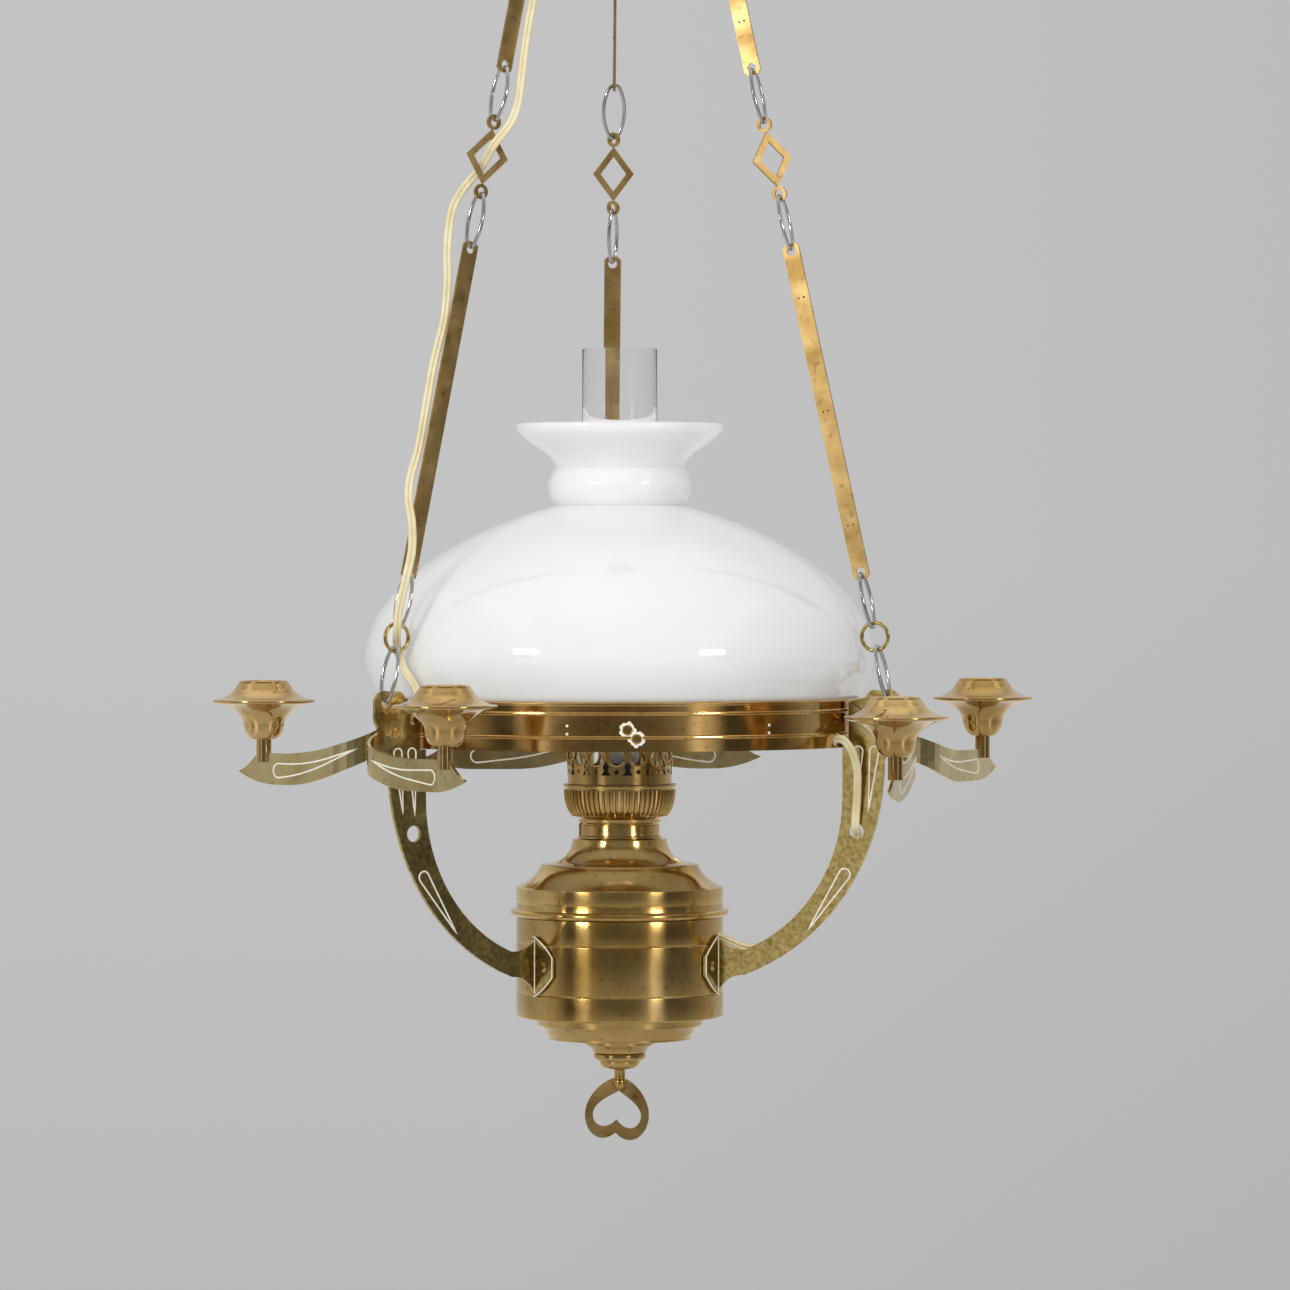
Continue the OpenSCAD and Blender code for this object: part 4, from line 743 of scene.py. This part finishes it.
def make_winder_hole():
    """The empty hole of the wick winder, in the left of the burner's neck: painted shade, a dark
    disc for its inside, with a brass rim round it.
    """
    # Painted shade: a dark disc on the neck's face for the hole's dark inside.
    hole_shade = [round_place(r, WINDER_BEARING, WINDER_HEIGHT) for r in (NECK_INSIDE, NECK_FACE)]
    wires("winder_hole", [hole_shade], WINDER_R, DARK_LINE, closed=False)
    rim = wall_loop(NECK_RIM, WINDER_BEARING, WINDER_HEIGHT, [WINDER_R] * 24)
    wires("winder_rim", [rim], radius=0.4, material=TURNED_BRASS)


def make_gallery_rims():
    """A raised rim round each round hole of the gallery."""
    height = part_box("gallery")[0][2] / MM - LEVEL + GALLERY_HOLE_UP
    bearings = [GALLERY_FIRST + i * 360 / GALLERY_HOLES for i in range(GALLERY_HOLES)]
    loops = [wall_loop(GALLERY_R, bearing, height, [GALLERY_HOLE_R] * 28) for bearing in bearings]
    wires("gallery_rims", loops, radius=0.38, material=TURNED_BRASS)


def make_bar_dots():
    """Pairs of punched dots down the two visible faces of each bar."""
    for side in BEARING:
        for name, top in BAR_TOPS:
            twist = 90 if side == "back" and name == "lower_bar" else 0
            dots = []
            for down in DOTS_DOWN:
                for face in (-BAR_FACE, BAR_FACE):
                    for shift in DOTS_APART:
                        flat = [(shift + DOT_R * math.cos(a), DOT_R * math.sin(a))
                                for a in full_turn(10)]
                        dots.append([chain_place(side, top + down + z, *turned(x, face, twist))
                                     for x, z in flat])
            wires(f"{side}_{name}_dots", dots, radius=0.22, material=DARK_LINE,
                  body=f"{side}_{name}")


make_engraving()
make_residue_and_glints()
make_winder_hole()
make_gallery_rims()
make_bar_dots()


# ---- Finishes of the model's own pieces ---------------------------------------------------------

painted(TURNED_BRASS, "crown", "arm_screws", "flange_rivets", "ring_rivets", "gallery", "heart_pin")
painted(REFLECTION_TINTED_BAND_BRASS, "shade_ring")
painted(WORN_BRASS, "heart")
for side in BEARING:
    painted(SHEET_BRASS, side + "_support_arm", side + "_round_ring")
    painted(WORN_BRASS, side + "_upper_bar", side + "_lower_bar", side + "_diamond")
    painted(STEEL_WIRE, *(f"{side}_{link}" for link in LINKS))
painted(LIT_STRIP_BRASS, *(name + "_candle_arm" for name in CANDLE_ARMS))
painted(BAKELITE, "lamp_socket")
painted(FROSTED_BULB, "bulb")


# ---- Room, light and camera ---------------------------------------------------------------------

FLOOR_DROP, FLOOR_RADIUS, FADE_FROM, FADE_TO = 0.55, 2.2, 0.4, 0.95
SOFT_LIGHT = 0.58
# The backdrop's tones, from left to right and from the foot up.
BACKDROP_SIDE, BACKDROP_FOOT = 0.11, -0.12
BACKDROP_ACROSS = ((0.4, 0.546), (1.0, 0.503))
BACKDROP_UP = ((0.0, 0.905), (1.0, 1.0))
# The room that the brass mirrors: two bright windows in front, tones added from the floor up,
# and the tone behind.
WINDOWS = (
    (-1.0, 0.55), (-0.93, 0.3), (-0.86, 0.08), (-0.78, 0.08), (-0.72, 0.5), (-0.6, 1.0),
    (-0.52, 0.3), (-0.36, 0.17), (0.0, 0.14), (0.36, 0.17), (0.52, 0.28), (0.6, 0.95),
    (0.7, 0.5), (0.78, 0.06), (1.0, 0.12),
)
ROOM_UP = ((0.3, 0.35), (0.47, 0.0), (0.6, 0.02), (0.72, 0.2), (0.84, 0.1), (1.0, 0.9))
ROOM_BEHIND, FRONT_ENDS, BACK_STARTS = 0.55, -0.2, 0.7
# Each light: its place from the level line, its width and height, its watts, and if it is mirrored.
LIGHTS = {
    "left_box": ((-2.1, -2.3, 0.95), (0.62, 0.3), 18, True),
    "right_box": ((2.1, -2.3, 0.95), (0.62, 0.3), 15, True),
    "front_panel": ((-0.7, -2.2, 1.3), (2.6, 1.6), 28, False),
}
FOCAL_PIXELS, PHOTO_PIXELS, SENSOR = 6000, 1290, 36
EYE_X, EYE_Y, EYE_HEIGHT, EYE_DIP = 0.0134, -3.18, 101, 0.81


def make_floor_finish():
    """A pale floor that fades out far from the lamp, and that can be seen through from below."""
    material = plain("pale_floor", grey(0.62), grey(0.66), (0.7, 0.8), scale=3, depth=0.0005)
    tree = material.node_tree
    place = tree.nodes.new("ShaderNodeTexCoord")
    far = tree.nodes.new("ShaderNodeVectorMath")
    far.operation = "LENGTH"
    tree.links.new(place.outputs["Object"], far.inputs[0])
    side = tree.nodes.new("ShaderNodeNewGeometry")
    fade = spread(tree, far.outputs["Value"], FADE_FROM, FADE_TO * FLOOR_RADIUS)
    mix = tree.nodes.new("ShaderNodeMixShader")
    tree.links.new(larger(tree, fade, side.outputs["Backfacing"]), mix.inputs["Fac"])
    tree.links.new(tree.nodes["Principled BSDF"].outputs["BSDF"], mix.inputs[1])
    tree.links.new(tree.nodes.new("ShaderNodeBsdfTransparent").outputs["BSDF"], mix.inputs[2])
    tree.links.new(mix.outputs["Shader"], tree.nodes["Material Output"].inputs["Surface"])
    return material


def make_floor():
    """A round floor under the lamp."""
    bm = bmesh.new()
    bmesh.ops.create_circle(bm, cap_ends=True, segments=96, radius=FLOOR_RADIUS)
    mesh = bpy.data.meshes.new("floor")
    bm.to_mesh(mesh)
    bm.free()
    floor = bpy.data.objects.new("floor", mesh)
    floor.location = (0, 0, cad_box[0][2] - FLOOR_DROP)
    bpy.context.collection.objects.link(floor)
    mesh.materials.append(make_floor_finish())


def greys(stops):
    """The stops of a colour ramp, from positions and tones."""
    return [(position, grey(tone)) for position, tone in stops]


def make_room():
    """A plain backdrop that the camera sees, also through glass, a room for the brass to mirror,
    and an even soft light for the rest."""
    world = bpy.data.worlds.new("studio")
    bpy.context.scene.world = world
    world.use_nodes = True
    tree = world.node_tree
    place = tree.nodes.new("ShaderNodeTexCoord")
    split = tree.nodes.new("ShaderNodeSeparateXYZ")
    tree.links.new(place.outputs["Generated"], split.inputs["Vector"])
    x, y, z = (split.outputs[axis] for axis in "XYZ")
    sides = ramp(tree, spread(tree, x, -BACKDROP_SIDE, BACKDROP_SIDE), greys(BACKDROP_ACROSS))
    upwards = ramp(tree, spread(tree, z, BACKDROP_FOOT, 0.0), greys(BACKDROP_UP))
    backdrop = mixed(tree, 1.0, sides, upwards, "MULTIPLY")
    windows = [(0.5 + across / 2, tone) for across, tone in WINDOWS]
    front = ramp(tree, spread(tree, x, -1, 1), greys(windows))
    walls = mixed(tree, spread(tree, y, FRONT_ENDS, BACK_STARTS), front, (*grey(ROOM_BEHIND), 1.0))
    floor_up = ramp(tree, spread(tree, z, -1, 1), greys(ROOM_UP))
    mirrored = mixed(tree, 1.0, walls, floor_up, "ADD")
    rays = tree.nodes.new("ShaderNodeLightPath").outputs
    unseen = mixed(tree, rays["Is Glossy Ray"], (*grey(SOFT_LIGHT), 1.0), mirrored)
    seen = larger(tree, rays["Is Camera Ray"], rays["Is Transmission Ray"])
    colour = mixed(tree, seen, unseen, backdrop)
    tree.links.new(colour, tree.nodes["Background"].inputs["Color"])


def area_light(name, place, target, size, power, glossy):
    """A flat lamp turned towards a target."""
    light = bpy.data.lights.new(name, "AREA")
    light.shape = "RECTANGLE"
    light.size, light.size_y = size
    light.energy = power
    lamp = bpy.data.objects.new(name, light)
    bpy.context.collection.objects.link(lamp)
    lamp.visible_glossy = glossy
    lamp.location = place
    lamp.rotation_euler = (Vector(target) - Vector(place)).to_track_quat("-Z", "Y").to_euler()


def make_lights():
    middle = Vector((0, 0, LEVEL * MM))
    for name, (place, size, power, glossy) in LIGHTS.items():
        area_light(name, middle + Vector(place), middle, size, power, glossy)


def make_camera():
    """A camera with the photograph's place, tilt and angle of view."""
    camera = bpy.data.cameras.new("camera")
    camera.sensor_width = SENSOR
    camera.lens = FOCAL_PIXELS / PHOTO_PIXELS * SENSOR
    eye = bpy.data.objects.new("camera", camera)
    bpy.context.collection.objects.link(eye)
    eye.location = (EYE_X, EYE_Y, (LEVEL + EYE_HEIGHT) * MM)
    eye.rotation_euler = (math.radians(90 - EYE_DIP), 0, 0)
    bpy.context.scene.camera = eye


make_floor()
make_room()
make_lights()
make_camera()
bpy.context.scene.view_settings.view_transform = "Standard"
